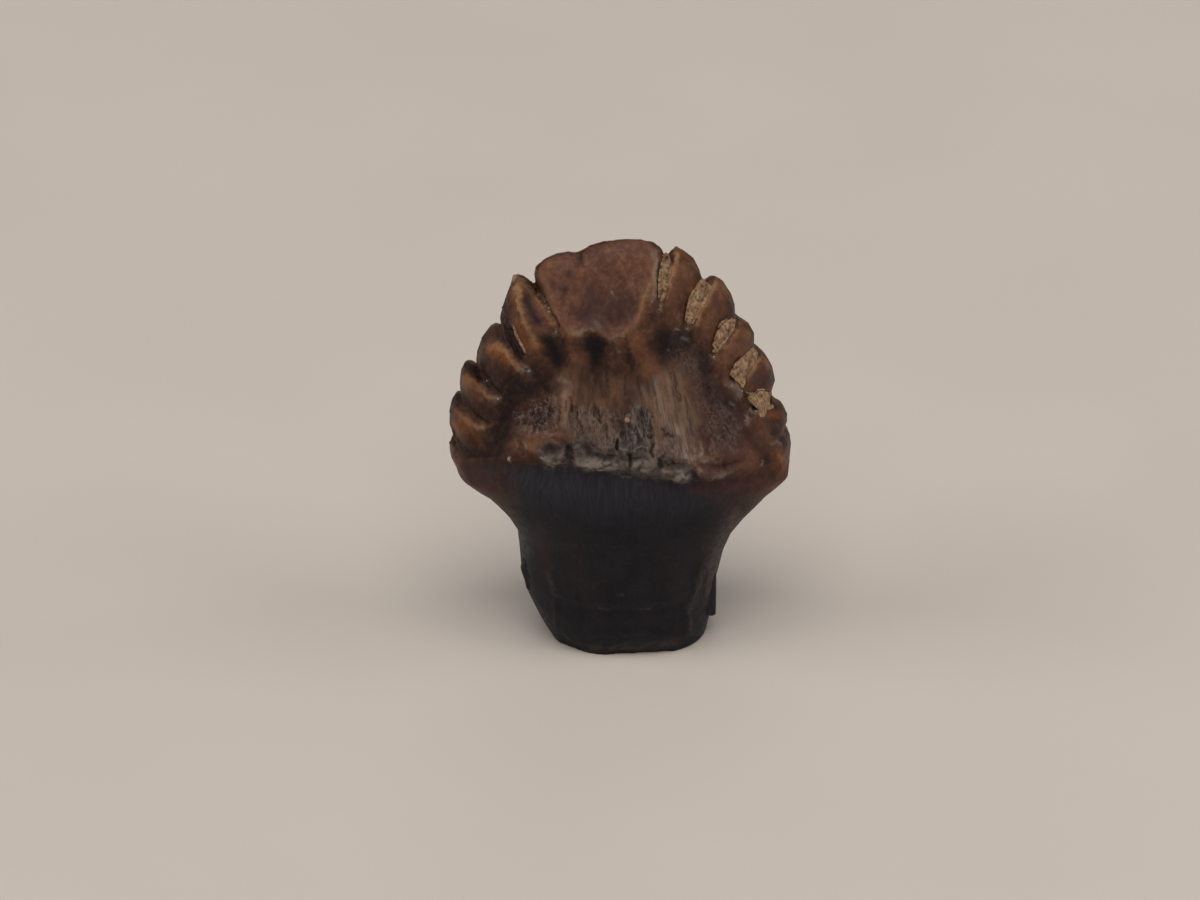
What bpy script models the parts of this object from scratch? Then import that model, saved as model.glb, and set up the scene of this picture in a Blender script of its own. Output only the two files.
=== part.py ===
"""Fossil nodosaur tooth, standing on the broken end of its root.

Metres, +Z up. The origin is the middle of the flat break that the tooth rests on. -Y is the face with
the strong ledge and the worn apex, and the slots between the denticles on the +X side still hold plugs
of sediment. Shapes are drawn in millimetres and scaled to metres at the end.
"""

from collections import namedtuple
from math import ceil, cos, pi, sin

import bmesh
import bpy
import numpy as np
from mathutils import Matrix, Vector, geometry, noise

MM = 0.001

# Driving sizes, in millimetres
TOOTH_HEIGHT = 14.1
LEAN_START = 6.0  # height where the crown's rim starts to lean back
LEAN = 1.0  # how far back the apex sits from the middle of the root
RIM_RADIUS = 0.55  # rounding of the crown's rim and denticles
GROOVE_LEAVES = 0.3  # least share of its smooth depth that the crown keeps in a groove
CROWN_GRID = 0.14
ROW_PITCH = 0.866  # row spacing of a triangular grid, as a share of its point spacing
RIM_CLEARANCE = 0.6  # grid points keep this share of the spacing off the outline
VOXEL = 0.10  # grain of the union that fuses crown, root and splinter
SMOOTHING = 3
SMOOTHING_STRENGTH = 0.5
TOOTH_FACES = 7600
PLUG_GAP = 0.03  # a plug stays this far off the tooth round it
PLUG_RECESS = 0.16  # a plug's faces lie this far under the denticles beside it
PLUG_THIN = 0.08  # half of a plug's thickness at the rim
PLUG_GRID = 0.2
SLOT_REACH = (-3.0, 4.0)  # from y to y, a slot goes right through the crown
LUMP_SIZE = 2.2
LUMP_DEPTH = 0.05
RING_POINTS = 56
SPLINTER_POINTS = 12

# Level cuts: the outermost x on each side, the foremost and hindmost y, and the power of the
# superellipse (2 is an ellipse)
Level = namedtuple("Level", "z left right front back power")
ROOT_LEVELS = [
    Level(-0.6, -2.40, 2.45, -1.90, 1.95, 2.4),
    Level(0.0, -2.62, 2.75, -2.25, 2.30, 2.5),
    Level(0.7, -2.95, 2.90, -2.45, 2.45, 2.5),
    Level(1.5, -3.32, 2.97, -2.56, 2.50, 2.4),
    Level(2.4, -3.54, 3.14, -2.62, 2.52, 2.3),
    Level(3.2, -3.60, 3.32, -2.66, 2.55, 2.3),
    Level(3.9, -3.68, 3.62, -2.70, 2.58, 2.2),
    Level(4.5, -4.02, 4.08, -2.74, 2.60, 2.1),
    Level(5.0, -4.48, 4.56, -2.76, 2.62, 2.0),
    Level(5.5, -5.04, 5.00, -2.76, 2.62, 1.9),
    Level(6.0, -5.46, 5.28, -2.74, 2.61, 1.9),
    Level(6.5, -5.62, 5.32, -2.66, 2.56, 1.9),
    Level(7.1, -5.40, 5.10, -2.46, 2.42, 1.9),
]
CROWN_LEVELS = [
    Level(4.9, -4.20, 4.30, -2.40, 2.30, 1.9),
    Level(5.5, -5.20, 5.10, -2.62, 2.50, 1.9),
    Level(6.1, -6.00, 5.70, -2.72, 2.62, 1.9),
    Level(6.6, -6.25, 5.85, -2.66, 2.62, 1.9),
    Level(7.4, -6.30, 5.90, -2.48, 2.52, 1.9),
    Level(8.4, -6.20, 5.75, -2.22, 2.40, 1.9),
    Level(9.4, -5.95, 5.45, -1.88, 2.28, 1.9),
    Level(10.4, -5.50, 5.05, -1.48, 2.14, 1.9),
    Level(11.4, -4.95, 4.55, -1.02, 1.98, 2.0),
    Level(12.4, -4.35, 3.95, -0.50, 1.78, 2.0),
    Level(13.4, -3.75, 3.20, 0.12, 1.55, 2.1),
    Level(14.2, -3.20, 2.60, 0.60, 1.35, 2.2),
]

# The crown's outline as (x, z), clockwise from its lower left, one to three lines for each denticle
CROWN_OUTLINE = [
    (-3.90, 5.10), (-4.80, 5.45), (-5.42, 5.85), (-5.70, 6.12), (-5.76, 6.26),
    (-5.90, 6.50), (-5.92, 6.75), (-5.86, 7.05), (-5.78, 7.20),
    (-5.92, 7.55), (-5.90, 8.05), (-5.80, 8.46), (-5.65, 8.64), (-5.51, 8.58),
    (-5.52, 9.10), (-5.47, 9.50), (-5.36, 9.72), (-5.22, 9.74), (-5.02, 9.63), (-4.87, 9.48),
    (-4.97, 9.80), (-4.95, 10.15), (-4.80, 10.65), (-4.56, 10.96), (-4.34, 11.06), (-4.16, 10.98),
    (-4.20, 11.35), (-4.08, 11.80), (-3.91, 12.30), (-3.74, 12.72), (-3.57, 12.84), (-3.36, 12.76),
    (-2.99, 12.42),
    (-3.04, 12.90), (-2.98, 13.14), (-2.68, 13.42), (-2.28, 13.59), (-1.92, 13.63), (-1.67, 13.58),
    (-1.50, 13.69), (-1.20, 13.88), (-0.70, 14.03), (0.00, 14.10), (0.48, 14.10), (0.93, 13.98),
    (1.18, 13.76), (1.29, 13.44),
    (1.40, 13.68), (1.60, 13.83), (1.86, 13.73), (2.21, 13.44), (2.42, 13.05), (2.53, 12.62),
    (2.68, 12.76), (2.93, 12.80), (3.20, 12.64), (3.44, 12.22), (3.57, 11.80), (3.59, 11.36),
    (3.80, 11.28), (4.08, 11.11), (4.22, 10.78), (4.24, 10.30),
    (4.42, 10.18), (4.65, 9.98), (4.85, 9.62), (4.94, 9.12), (4.80, 8.74), (4.78, 8.44),
    (5.02, 8.24), (5.20, 8.20), (5.37, 7.93), (5.37, 7.66), (5.28, 7.45),
    (5.46, 7.20), (5.50, 6.85), (5.46, 6.45), (5.34, 6.00), (5.00, 5.55), (4.00, 5.10),
]

# Grooves between denticles: its depth, how wide the hollow is on the apex side and on the outer side,
# where each denticle has its crest, and its line as (x, z) from the rim inwards
Groove = namedtuple("Groove", "depth apex_side outer_side line")
GROOVES = [
    Groove(0.30, 0.22, 0.40, [(-3.02, 12.75), (-2.82, 12.45), (-2.62, 12.05), (-2.25, 11.20)]),
    Groove(0.50, 0.50, 0.22, [(-4.25, 11.50), (-3.96, 11.15), (-3.71, 10.80), (-3.10, 10.00)]),
    Groove(0.50, 0.55, 0.20, [(-4.98, 10.10), (-4.70, 9.72), (-4.48, 9.42), (-4.15, 9.08)]),
    Groove(0.50, 0.55, 0.20, [(-5.70, 9.10), (-5.34, 8.76), (-5.04, 8.44), (-4.55, 8.12)]),
    Groove(0.45, 0.55, 0.18, [(-5.95, 7.75), (-5.62, 7.45), (-5.30, 7.24), (-4.85, 7.10)]),
    Groove(0.22, 0.25, 0.10, [(1.22, 13.60), (1.10, 12.90), (1.08, 12.55), (0.98, 11.90)]),
    Groove(0.42, 0.70, 0.12, [(2.52, 12.90), (2.20, 12.40), (2.00, 11.90), (1.72, 11.20)]),
    Groove(0.42, 0.75, 0.12, [(3.55, 11.60), (3.12, 11.35), (2.86, 10.90), (2.60, 10.30)]),
    Groove(0.42, 0.65, 0.12, [(4.25, 10.50), (3.80, 10.20), (3.55, 9.90), (3.20, 9.40)]),
    Groove(0.40, 0.65, 0.12, [(4.90, 8.70), (4.40, 8.90), (4.10, 8.70), (3.70, 8.40)]),
    Groove(0.35, 0.45, 0.15, [(5.40, 7.45), (5.05, 7.45), (4.60, 7.30)]),
]
GROOVE_POWER = 1.5  # how sharply a groove's floor narrows
BACK_GROOVE_SHARE = 0.8

# Worn facet on the apex: its lower edge as (x, z), and how deep it is sunk
FACET_EDGE = [
    (1.30, 13.90), (1.10, 13.40), (0.92, 13.10), (0.68, 12.70), (0.40, 12.00), (-0.06, 11.54),
    (-0.49, 11.38), (-0.80, 11.64), (-1.11, 11.82), (-1.40, 11.65), (-1.62, 11.49), (-2.03, 11.64),
    (-2.45, 12.15), (-2.85, 12.85), (-3.05, 13.40), (-1.60, 14.40), (0.40, 14.60),
]
FACET_DEPTH = 0.15
FACET_SOFTNESS = 0.30

# Lower edge of the ledge round the crown's base, as (x, z, how far the ledge stands out)
FRONT_LEDGE = [
    (-6.10, 6.60, 0.03), (-5.45, 6.76, 0.05), (-5.02, 6.92, 0.08), (-4.51, 7.10, 0.14), (-4.01, 7.26, 0.22),
    (-3.52, 7.44, 0.30), (-2.79, 7.56, 0.34), (-2.33, 7.48, 0.36), (-1.67, 7.48, 0.36), (-1.27, 7.41, 0.36),
    (-0.35, 7.36, 0.36), (0.20, 7.38, 0.36), (0.83, 7.24, 0.35), (1.59, 6.98, 0.34), (2.05, 6.90, 0.34),
    (2.61, 6.86, 0.33), (3.17, 6.87, 0.30), (3.94, 6.91, 0.24), (4.71, 6.92, 0.18), (5.70, 6.85, 0.12),
]
BACK_LEDGE = [
    (-6.10, 6.35, 0.08), (-4.60, 6.45, 0.16), (-2.20, 6.70, 0.22), (0.40, 6.75, 0.22), (2.80, 6.60, 0.22),
    (4.60, 6.45, 0.16), (5.70, 6.35, 0.10),
]
LEDGE_LIP = 0.16  # height over which the ledge rises from the root
LEDGE_HEIGHT = 1.20  # height over which it falls away into the crown
LEDGE_TROUGH = 0.20  # share of the rise that the crown dips above the ledge
LIP_POWER = 0.5  # how full the lip's curve is

# Splinter standing off the root's right side, as (x, y, z, half width in x, half width in y)
SPLINTER = [
    (2.74, -0.10, 2.30, 0.10, 0.35), (2.80, -0.15, 1.90, 0.22, 0.60), (2.82, -0.25, 1.10, 0.25, 0.58),
    (2.86, -0.30, 0.50, 0.20, 0.42), (2.93, -0.35, 0.16, 0.09, 0.16),
]

# Flat breaks round the root's end: a point on each and its outward direction
BREAKS = [
    ((-2.58, 0.0, 0.0), (-0.86, -0.12, -0.50)),
    ((-1.60, -1.66, 0.0), (-0.50, -0.74, -0.45)),
    ((2.35, -1.35, 0.0), (0.75, -0.50, -0.43)),
    ((0.20, -2.10, 0.0), (0.08, -0.90, -0.42)),
    ((1.60, 2.15, 0.45), (0.35, 0.78, -0.52)),
    ((-1.90, 2.10, 0.40), (-0.40, 0.72, -0.56)),
]

# Outlines of the sediment plugs as (x, z), from the apex down
PLUGS = [
    [
        (1.05, 12.55), (1.06, 13.10), (1.13, 13.42), (1.28, 13.56), (1.46, 13.48), (1.42, 13.20),
        (1.28, 12.80), (1.16, 12.55),
    ],
    [
        (2.10, 11.76), (1.94, 11.91), (2.00, 12.27), (2.14, 12.58), (2.38, 12.70), (2.58, 12.62),
        (2.44, 12.24), (2.24, 11.88),
    ],
    [
        (2.84, 10.85), (2.86, 11.11), (2.98, 11.37), (3.14, 11.52), (3.42, 11.52), (3.56, 11.38),
        (3.30, 11.12), (3.04, 10.88),
    ],
    [
        (3.42, 10.10), (3.58, 10.36), (3.86, 10.46), (4.08, 10.48), (4.20, 10.32), (3.94, 9.98),
        (3.87, 9.66), (3.70, 9.78),
    ],
    [
        (3.92, 9.32), (4.20, 9.36), (4.44, 9.36), (4.70, 9.05), (4.86, 8.78), (4.94, 8.44), (4.60, 8.40),
        (4.38, 8.50), (4.34, 8.84),
    ],
]

# Colours as linear red, green and blue
TOOTH_COLOUR = (0.105, 0.045, 0.020)
SEDIMENT_COLOUR = (0.42, 0.28, 0.13)


def rim_y(z):
    """The middle of the crown's rim: upright over the root, leaning back above it."""
    share = (np.asarray(z, float) - LEAN_START) / (TOOTH_HEIGHT - LEAN_START)
    return LEAN * np.clip(share, 0, None)


def polyline_distance(points, line):
    """For each point: its distance from the line, its side of it, and how far along its nearest place is."""
    nearest = np.full(len(points), np.inf)
    side = np.zeros(len(points))
    along = np.zeros(len(points))
    stretches = list(zip(np.array(line[:-1]), np.array(line[1:])))
    for i, (start, end) in enumerate(stretches):
        step = end - start
        share = np.clip((points - start) @ step / (step @ step), 0, 1)
        offset = points - start - share[:, None] * step
        distance = np.hypot(offset[:, 0], offset[:, 1])
        closer = distance < nearest
        nearest[closer] = distance[closer]
        side[closer] = (step[0] * offset[:, 1] - step[1] * offset[:, 0])[closer]
        along[closer] = ((i + share) / len(stretches))[closer]
    return nearest, np.sign(side), along


def inside(points, outline):
    """Which points lie inside a closed outline."""
    crossings = np.zeros(len(points), int)
    for (x0, z0), (x1, z1) in zip(outline, outline[1:] + outline[:1]):
        if z0 != z1:
            spans = (points[:, 1] < max(z0, z1)) & (points[:, 1] >= min(z0, z1))
            crossings += spans & (points[:, 0] < x0 + (points[:, 1] - z0) * (x1 - x0) / (z1 - z0))
    return crossings % 2 == 1


def crown_depth(points, is_front):
    """Smooth distance from the rim's middle to the crown's front or back, before its grooves."""
    x, z = points.T
    heights = [level.z for level in CROWN_LEVELS]
    left, right, front, back, power = (
        np.interp(z, heights, [level[k] for level in CROWN_LEVELS]) for k in range(1, 6)
    )
    reach = np.clip(x / np.where(x > 0, right, left), 0, 1)
    middle = rim_y(z)
    return (middle - front if is_front else back - middle) * (1 - reach**power) ** (1 / power)


def rim_rounding(points):
    """The share of its depth that the crown has near its rim."""
    rim, _, _ = polyline_distance(points, CROWN_OUTLINE[3:-3])
    return np.sqrt(1 - (1 - np.clip(rim / RIM_RADIUS, 0, 1)) ** 2)


def plug_face(points, is_front):
    """The y of a plug's front or back, sunk under the denticles beside it."""
    depth = np.maximum(crown_depth(points, is_front) * rim_rounding(points) - PLUG_RECESS, PLUG_THIN)
    return rim_y(points[:, 1]) + (-depth if is_front else depth)


def ledge_height(points, ledge):
    """How much the ledge adds to the crown: a lip at its lower edge, falling to a trough above it."""
    x, z, stands_out = np.array(ledge).T
    above = points[:, 1] - np.interp(points[:, 0], x, z)
    lip = np.clip(above / LEDGE_LIP, 0, 1) ** LIP_POWER
    fall = np.clip((above - LEDGE_LIP) / LEDGE_HEIGHT, 0, 2)
    wave = np.where(fall < 1, 0.5 + 0.5 * np.cos(pi * fall), 0)
    dip = np.where(fall > 0, np.sin(pi * fall / 2) ** 2, 0)
    return np.interp(points[:, 0], x, stands_out) * (lip * wave - LEDGE_TROUGH * dip)


def crown_face(points, is_front):
    """The y of the crown's front or back, with its ledge, grooves, facet and rounded rim."""
    depth = crown_depth(points, is_front)
    full = depth.copy()
    depth += ledge_height(points, FRONT_LEDGE if is_front else BACK_LEDGE)
    if is_front:
        edge, _, _ = polyline_distance(points, FACET_EDGE + FACET_EDGE[:1])
        depth -= FACET_DEPTH * np.clip(edge / FACET_SOFTNESS, 0, 1) * inside(points, FACET_EDGE)
    for groove in GROOVES:
        distance, side, along = polyline_distance(points, groove.line)
        apex_is = 1 if groove.line[0][0] < 0 else -1
        width = np.where(side == apex_is, groove.apex_side, groove.outer_side)
        hollow = np.clip(1 - distance / width, 0, 1) ** GROOVE_POWER
        share = 1 if is_front else BACK_GROOVE_SHARE
        depth -= share * groove.depth * hollow * (1 - along**2)
    depth = np.maximum(depth, GROOVE_LEAVES * full) * rim_rounding(points)
    return rim_y(points[:, 1]) + (-depth if is_front else depth)


def sheet_of(outline, spacing):
    """Points and triangles that fill an outline evenly."""
    low, high = np.min(outline, axis=0), np.max(outline, axis=0)
    rows = ceil((high[1] - low[1]) / (spacing * ROW_PITCH))
    columns = ceil((high[0] - low[0]) / spacing)
    grid = [
        (low[0] + (column + 0.5 * (row % 2)) * spacing, low[1] + row * spacing * ROW_PITCH)
        for row in range(rows + 1)
        for column in range(columns + 1)
    ]
    grid = np.array(grid)
    edge, _, _ = polyline_distance(grid, outline + outline[:1])
    grid = grid[inside(grid, outline) & (edge > spacing * RIM_CLEARANCE)]
    rim = []
    for start, end in zip(outline, outline[1:] + outline[:1]):
        pieces = ceil(np.hypot(end[0] - start[0], end[1] - start[1]) / spacing)
        rim += [Vector(start).lerp(Vector(end), i / pieces) for i in range(pieces)]
    edges = [(i, (i + 1) % len(rim)) for i in range(len(rim))]
    points = rim + [Vector(point) for point in grid]
    points, _, faces, *_ = geometry.delaunay_2d_cdt(points, edges, [], 1, 1e-5)
    return np.array(points), faces


def add_sheet_solid(bm, outline, spacing, face_of):
    """A closed solid over an outline, between the front and the back that face_of gives."""
    points, faces = sheet_of(outline, spacing)
    front, back = (
        [bm.verts.new((x, y, z)) for (x, z), y in zip(points, face_of(points, is_front))]
        for is_front in (True, False)
    )
    sides = {}
    for face in faces:
        bm.faces.new([front[i] for i in face])
        bm.faces.new([back[i] for i in reversed(face)])
        for a, b in zip(face, face[1:] + face[:1]):
            sides[(a, b)] = (b, a)
    for (a, b), flipped in sides.items():
        if flipped not in sides:
            bm.faces.new((front[b], front[a], back[a], back[b]))


def add_loft(bm, rings):
    """Skins a row of rings with the same number of points, and closes both ends."""
    rows = [[bm.verts.new(point) for point in ring] for ring in rings]
    for lower, upper in zip(rows, rows[1:]):
        for i in range(len(lower)):
            j = (i + 1) % len(lower)
            bm.faces.new((lower[i], lower[j], upper[j], upper[i]))
    bm.faces.new(reversed(rows[0]))
    bm.faces.new(rows[-1])


def power_curve(value, power):
    """The sine or cosine of a turn, bent to a superellipse of that power."""
    return (1 if value >= 0 else -1) * abs(value) ** (2 / power)


def add_root(bm):
    """The root, one level ring above another."""
    rings = []
    for level in ROOT_LEVELS:
        ring = []
        for i in range(RING_POINTS):
            turn = 2 * pi * i / RING_POINTS
            along = power_curve(cos(turn), level.power)
            across = power_curve(sin(turn), level.power)
            x = along * (level.right if along > 0 else -level.left)
            y = across * (level.back if across > 0 else -level.front)
            ring.append((x, y, level.z))
        rings.append(ring)
    add_loft(bm, rings)


def add_splinter(bm):
    """The thin splinter at the root's right side, from top to bottom."""
    rings = []
    for x, y, z, half_x, half_y in SPLINTER:
        turns = [2 * pi * k / SPLINTER_POINTS for k in range(SPLINTER_POINTS)]
        rings.append([(x + half_x * cos(turn), y + half_y * sin(turn), z) for turn in turns])
    add_loft(bm, rings)


def new_object(name, bm):
    """A scene object that holds bm's mesh, with its faces pointing out."""
    bmesh.ops.recalc_face_normals(bm, faces=bm.faces)
    mesh = bpy.data.meshes.new(name)
    bm.to_mesh(mesh)
    bm.free()
    obj = bpy.data.objects.new(name, mesh)
    bpy.context.scene.collection.objects.link(obj)
    return obj


def bake_modifiers(obj):
    """Replaces the object's mesh by the mesh that its modifiers make."""
    graph = bpy.context.evaluated_depsgraph_get()
    baked = bpy.data.meshes.new_from_object(obj.evaluated_get(graph))
    obj.modifiers.clear()
    obj.data = baked


def fuse(obj):
    """Joins the overlapping bodies in one skin, smooths it and thins it."""
    remesh = obj.modifiers.new("fuse", "REMESH")
    remesh.mode = "VOXEL"
    remesh.voxel_size = VOXEL
    smooth = obj.modifiers.new("smooth", "SMOOTH")
    smooth.factor = SMOOTHING_STRENGTH
    smooth.iterations = SMOOTHING
    bake_modifiers(obj)
    triangles = sum(len(face.vertices) - 2 for face in obj.data.polygons)
    thin = obj.modifiers.new("thin", "DECIMATE")
    thin.ratio = TOOTH_FACES / triangles
    bake_modifiers(obj)


def add_lumps(bm):
    """Uneven swells, as a thing that grew has, drawn from a fixed noise."""
    bm.normal_update()
    for vert in bm.verts:
        vert.co += vert.normal * noise.noise(vert.co / LUMP_SIZE) * LUMP_DEPTH


def cut_flat(bm, point, outward):
    """Cuts off what lies beyond the plane, and closes the cut with one flat face."""
    cut = bmesh.ops.bisect_plane(
        bm,
        geom=bm.verts[:] + bm.edges[:] + bm.faces[:],
        plane_co=point,
        plane_no=Vector(outward).normalized(),
        clear_outer=True,
    )
    edges = [item for item in cut["geom_cut"] if isinstance(item, bmesh.types.BMEdge)]
    bmesh.ops.holes_fill(bm, edges=edges, sides=0)


def cut_slot(tooth, outline):
    """Cuts the slot that a plug sits in right through the crown, and drops the cutter."""
    centre = np.mean(outline, axis=0)
    bm = bmesh.new()
    rings = []
    for y in SLOT_REACH:
        ring = []
        for i, point in enumerate(outline):
            before, after = np.array(outline[i - 1]), np.array(outline[(i + 1) % len(outline)])
            tangent = (after - before) / np.linalg.norm(after - before)
            outward = np.array((-tangent[1], tangent[0]))
            outward *= np.sign(outward @ (np.array(point) - centre)) or 1
            x, z = np.array(point) + outward * PLUG_GAP
            ring.append((x, y, z))
        rings.append(ring)
    add_loft(bm, rings)
    cutter = new_object("slot_cutter", bm)
    cutter.hide_render = True
    cutter.display_type = "WIRE"
    slot = tooth.modifiers.new("slot", "BOOLEAN")
    slot.operation = "DIFFERENCE"
    slot.object = cutter
    bake_modifiers(tooth)
    bpy.data.objects.remove(cutter)


def build_tooth():
    """Crown and root fused in one solid, with its slots, broken off flat at the root's end."""
    bm = bmesh.new()
    add_root(bm)
    add_splinter(bm)
    add_sheet_solid(bm, CROWN_OUTLINE, CROWN_GRID, crown_face)
    tooth = new_object("tooth", bm)
    fuse(tooth)
    bm = bmesh.new()
    bm.from_mesh(tooth.data)
    add_lumps(bm)
    for point, outward in BREAKS:
        cut_flat(bm, point, outward)
    cut_flat(bm, (0, 0, 0), (0, 0, -1))
    bmesh.ops.triangulate(bm, faces=bm.faces)
    bm.to_mesh(tooth.data)
    bm.free()
    for outline in PLUGS:
        cut_slot(tooth, outline)
    return tooth


def build_plug(name, outline):
    """A sediment plug that fills its slot from just under the front to just under the back."""
    bm = bmesh.new()
    add_sheet_solid(bm, outline, PLUG_GRID, plug_face)
    return new_object(name, bm)


def finish(obj, colour, roughness):
    """Scales the mesh to metres, shades it and gives it its own material."""
    obj.data.transform(Matrix.Scale(MM, 4))
    obj.data.shade_smooth()
    material = bpy.data.materials.new(obj.name)
    material.use_nodes = True
    shader = material.node_tree.nodes["Principled BSDF"]
    shader.inputs["Base Color"].default_value = (*colour, 1)
    shader.inputs["Roughness"].default_value = roughness
    shader.inputs["Metallic"].default_value = 0
    obj.data.materials.clear()
    obj.data.materials.append(material)


def main():
    for obj in list(bpy.data.objects):
        bpy.data.objects.remove(obj)
    finish(build_tooth(), TOOTH_COLOUR, 0.35)
    for number, outline in enumerate(PLUGS, 1):
        finish(build_plug(f"sediment_{number}", outline), SEDIMENT_COLOUR, 0.9)


main()
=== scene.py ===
"""Looks of the fossil nodosaur tooth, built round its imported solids.

The tooth and its sediment plugs repeat the forms of the solids on a finer mesh and add what the solids leave
out: worn and pitted enamel, crests, cracks, the ragged ledge, chips on the root and single grains of sand.
Shapes are drawn in millimetres in the frame of the solids, and scaled to metres at the end. Marks on the
front are drawn in a picture plane 1200 wide and 900 high, and carried onto the surface along its rays.
"""

import random
from collections import namedtuple
from math import ceil, cos, pi, radians, sin

import bmesh
import bpy
import numpy as np
from mathutils import Matrix, Vector, bvhtree, geometry, noise


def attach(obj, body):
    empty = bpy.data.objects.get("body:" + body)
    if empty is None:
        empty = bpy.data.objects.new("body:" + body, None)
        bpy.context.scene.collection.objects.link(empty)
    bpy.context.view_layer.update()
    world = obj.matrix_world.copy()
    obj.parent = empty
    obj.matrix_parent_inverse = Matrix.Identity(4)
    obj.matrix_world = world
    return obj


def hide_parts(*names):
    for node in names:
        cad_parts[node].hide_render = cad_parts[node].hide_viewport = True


MM = 0.001
ROOT_BODY = "root"

# Driving sizes of the solids, in millimetres
TOOTH_HEIGHT = 14.1
LEAN_START = 6.0
LEAN = 1.0
RIM_RADIUS = 0.55
GROOVE_LEAVES = 0.3
ROW_PITCH = 0.866
RIM_CLEARANCE = 0.6
LUMP_SIZE = 2.2
LUMP_DEPTH = 0.05
RING_POINTS = 96
PLUG_THIN = 0.08
SLOT_REACH = (-3.0, 4.0)

# Fineness of the meshes here
CROWN_GRID = 0.085
VOXEL = 0.08
SMOOTHING = 5
SMOOTHING_STRENGTH = 0.5
SHARPEN_REACH = 0.35
FLARE_WIDTH = 3.3
FAN_X = -0.8
FAN_TOP = 20.0
FAN_LEVEL = 8.0
CRUST_GRID = 0.9
CRUST_EDGE = 4.0
CRUST_SMOOTHING = 12
CRUST_THICKNESS = 0.06
CRUST_PIT_EDGE = (0.8, 2.5)
RIM_ROUNDS = 6
GRAIN_SUNK = 0.1
GRAIN_LUMP = 0.28
GRAIN_LUMP_PITCH = 0.9
GRAIN_SHIFT = 3.7
GRAIN_STRETCH = ((0.8, 1.2), (0.75, 1.0), (0.8, 1.3))
SLAB_STEPS = (0.0, 0.06, 0.18, 0.35, 0.5, 0.65, 0.82, 0.94, 1.0)
SLAB_TAPER = 0.16
PLUG_GRID = 0.035
PLUG_RECESS = 0.07
PLUG_OVERLAP = 0.03  # a plug reaches this far into the tooth round it, as sediment that sticks to it

# Picture plane: pixels to a millimetre at the target, distance, rise of the view, target
PICTURE = (1200, 900)
PICTURE_SCALE = 29.5
PICTURE_DISTANCE = 200.0
PICTURE_RISE = radians(30)
PICTURE_TARGET = np.array([-0.88, 2.89, 5.0])
VIEW = np.array([0, cos(PICTURE_RISE), -sin(PICTURE_RISE)])
VIEW_UP = np.array([0, sin(PICTURE_RISE), cos(PICTURE_RISE)])
EYE = PICTURE_TARGET - PICTURE_DISTANCE * VIEW

# How bright a white surface on the tooth's front shows under the studio light
LIGHT_ON_FRONT = 0.62

# Lights that face the tooth: name, place and size in metres, power in watts and colour
LIGHTS = [
    ("key", (0.0, -0.13, 0.37), 0.28, 0.60, (1.0, 0.97, 0.93)),
    ("left_fill", (-0.28, -0.04, 0.17), 0.20, 0.26, (1.0, 0.98, 0.96)),
    ("right_fill", (0.28, -0.04, 0.17), 0.20, 0.26, (1.0, 0.98, 0.96)),
    ("back", (0.02, 0.30, 0.30), 0.20, 0.10, (0.97, 0.98, 1.0)),
]
LIGHT_TARGET = (0.0, 0.0, 0.006)
SKY_COLOUR = (0.95, 0.97, 1.0, 1)
SKY_STRENGTH = 0.17
FLOOR_HALF = 1.5
SENSOR_WIDTH = 36.0
CLIP = (0.01, 10.0)

Field = namedtuple("Field", "size shift height", defaults=[1.0])
# Noise on the tooth: size along its axes, a shift that sets it apart, and how high it swells
BREAK_SWELL = Field(0.5, 7.0, 0.05)
BREAK_GRAIN = Field(0.16, 3.0, 0.025)
WANDER = Field(0.35, 11.0), Field(0.35, 23.0)
FINE_WANDER = Field(0.13, 103.0), Field(0.13, 107.0)
FIBRE = Field((0.13, 0.3, 1.1), 5.0)
COARSE_FIBRE = Field((0.32, 0.5, 1.8), 9.0)
FRAY = Field((0.15, 0.4, 0.36), 17.0)
LEDGE_LUMP = Field((0.34, 0.4, 0.22), 61.0, 0.06)
LEDGE_GRAIN = Field(0.14, 67.0, 0.02)
PIT = Field(0.09, 31.0)
PIT_SWELL = Field(0.30, 37.0, 0.03)
SPECKLE = Field(0.16, 41.0)
WAVE = Field(0.6, 43.0, 0.008)
RIPPLE = Field(0.22, 47.0, 0.004)
ROOT_WAVER = Field(0.3, 53.0)
BACK_STREAK_PATCH = Field(1.6, 83.0)
BACK_FRAY_PATCH = Field(0.9, 89.0)
BACK_CRACK = Field((0.9, 1.0, 2.4), 97.0)
BACK_BLOT = Field(0.75, 101.0)
# Noise on the sediment, where a piece's number can add to the shift
PLUG_GRAIN = Field(0.09, 3.0, 0.022)
PLUG_SWELL = Field(0.32, 13.0, 0.055)
PLUG_PIT = Field(0.16, 29.0, 0.10)
CRUST_GRAIN = Field(0.09, 73.0, 0.026)
CRUST_SWELL = Field(0.27, 79.0, 0.07)
CRUST_PIT = Field(0.15, 71.0, 0.09)

# How far marks and areas stray from where they are drawn, in pixels, by the coarse and the fine wander
MARK_STRAY = (2.0, 1.6)
AREA_STRAY = (9.0, 5.0)
STROKE_REACH = 2.2
FIBRE_HEIGHTS = (0.010, 0.024)
BACK_FIBRE_HEIGHTS = (0.012, 0.028)
FRAY_HEIGHT = 0.026
BACK_FRAY_HEIGHT = 0.03
WORN_DEPTH = 0.02
PIT_DEPTH = 0.035
PIT_GAIN = 2.2
PIT_THRESHOLD = 0.2
SPECKLE_DEPTH = 0.010
CRACK_DEPTH = 0.05
# Depth at which the painted shade in the relief's hollows is full
HOLLOW_SHADE_DEPTH = 0.12
# Width of the painted shade along the crown's outline, and the height where it begins
RIM_SHADE_WIDTH = 0.07
RIM_SHADE_FROM = 6.6
SEDIMENT_PIT_GAIN = 3.2
PLUG_SOUNDNESS = 1.1
PLUG_FACING_GAIN = 1.6
PLUG_FACING_FROM = 0.3
FRAY_STRAY = 0.15
CRACK_STRAY = 0.3
CRACK_WIDTH = 0.03
CRACK_SHARE = 0.6
BLOT_SHARE = 0.75

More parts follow.
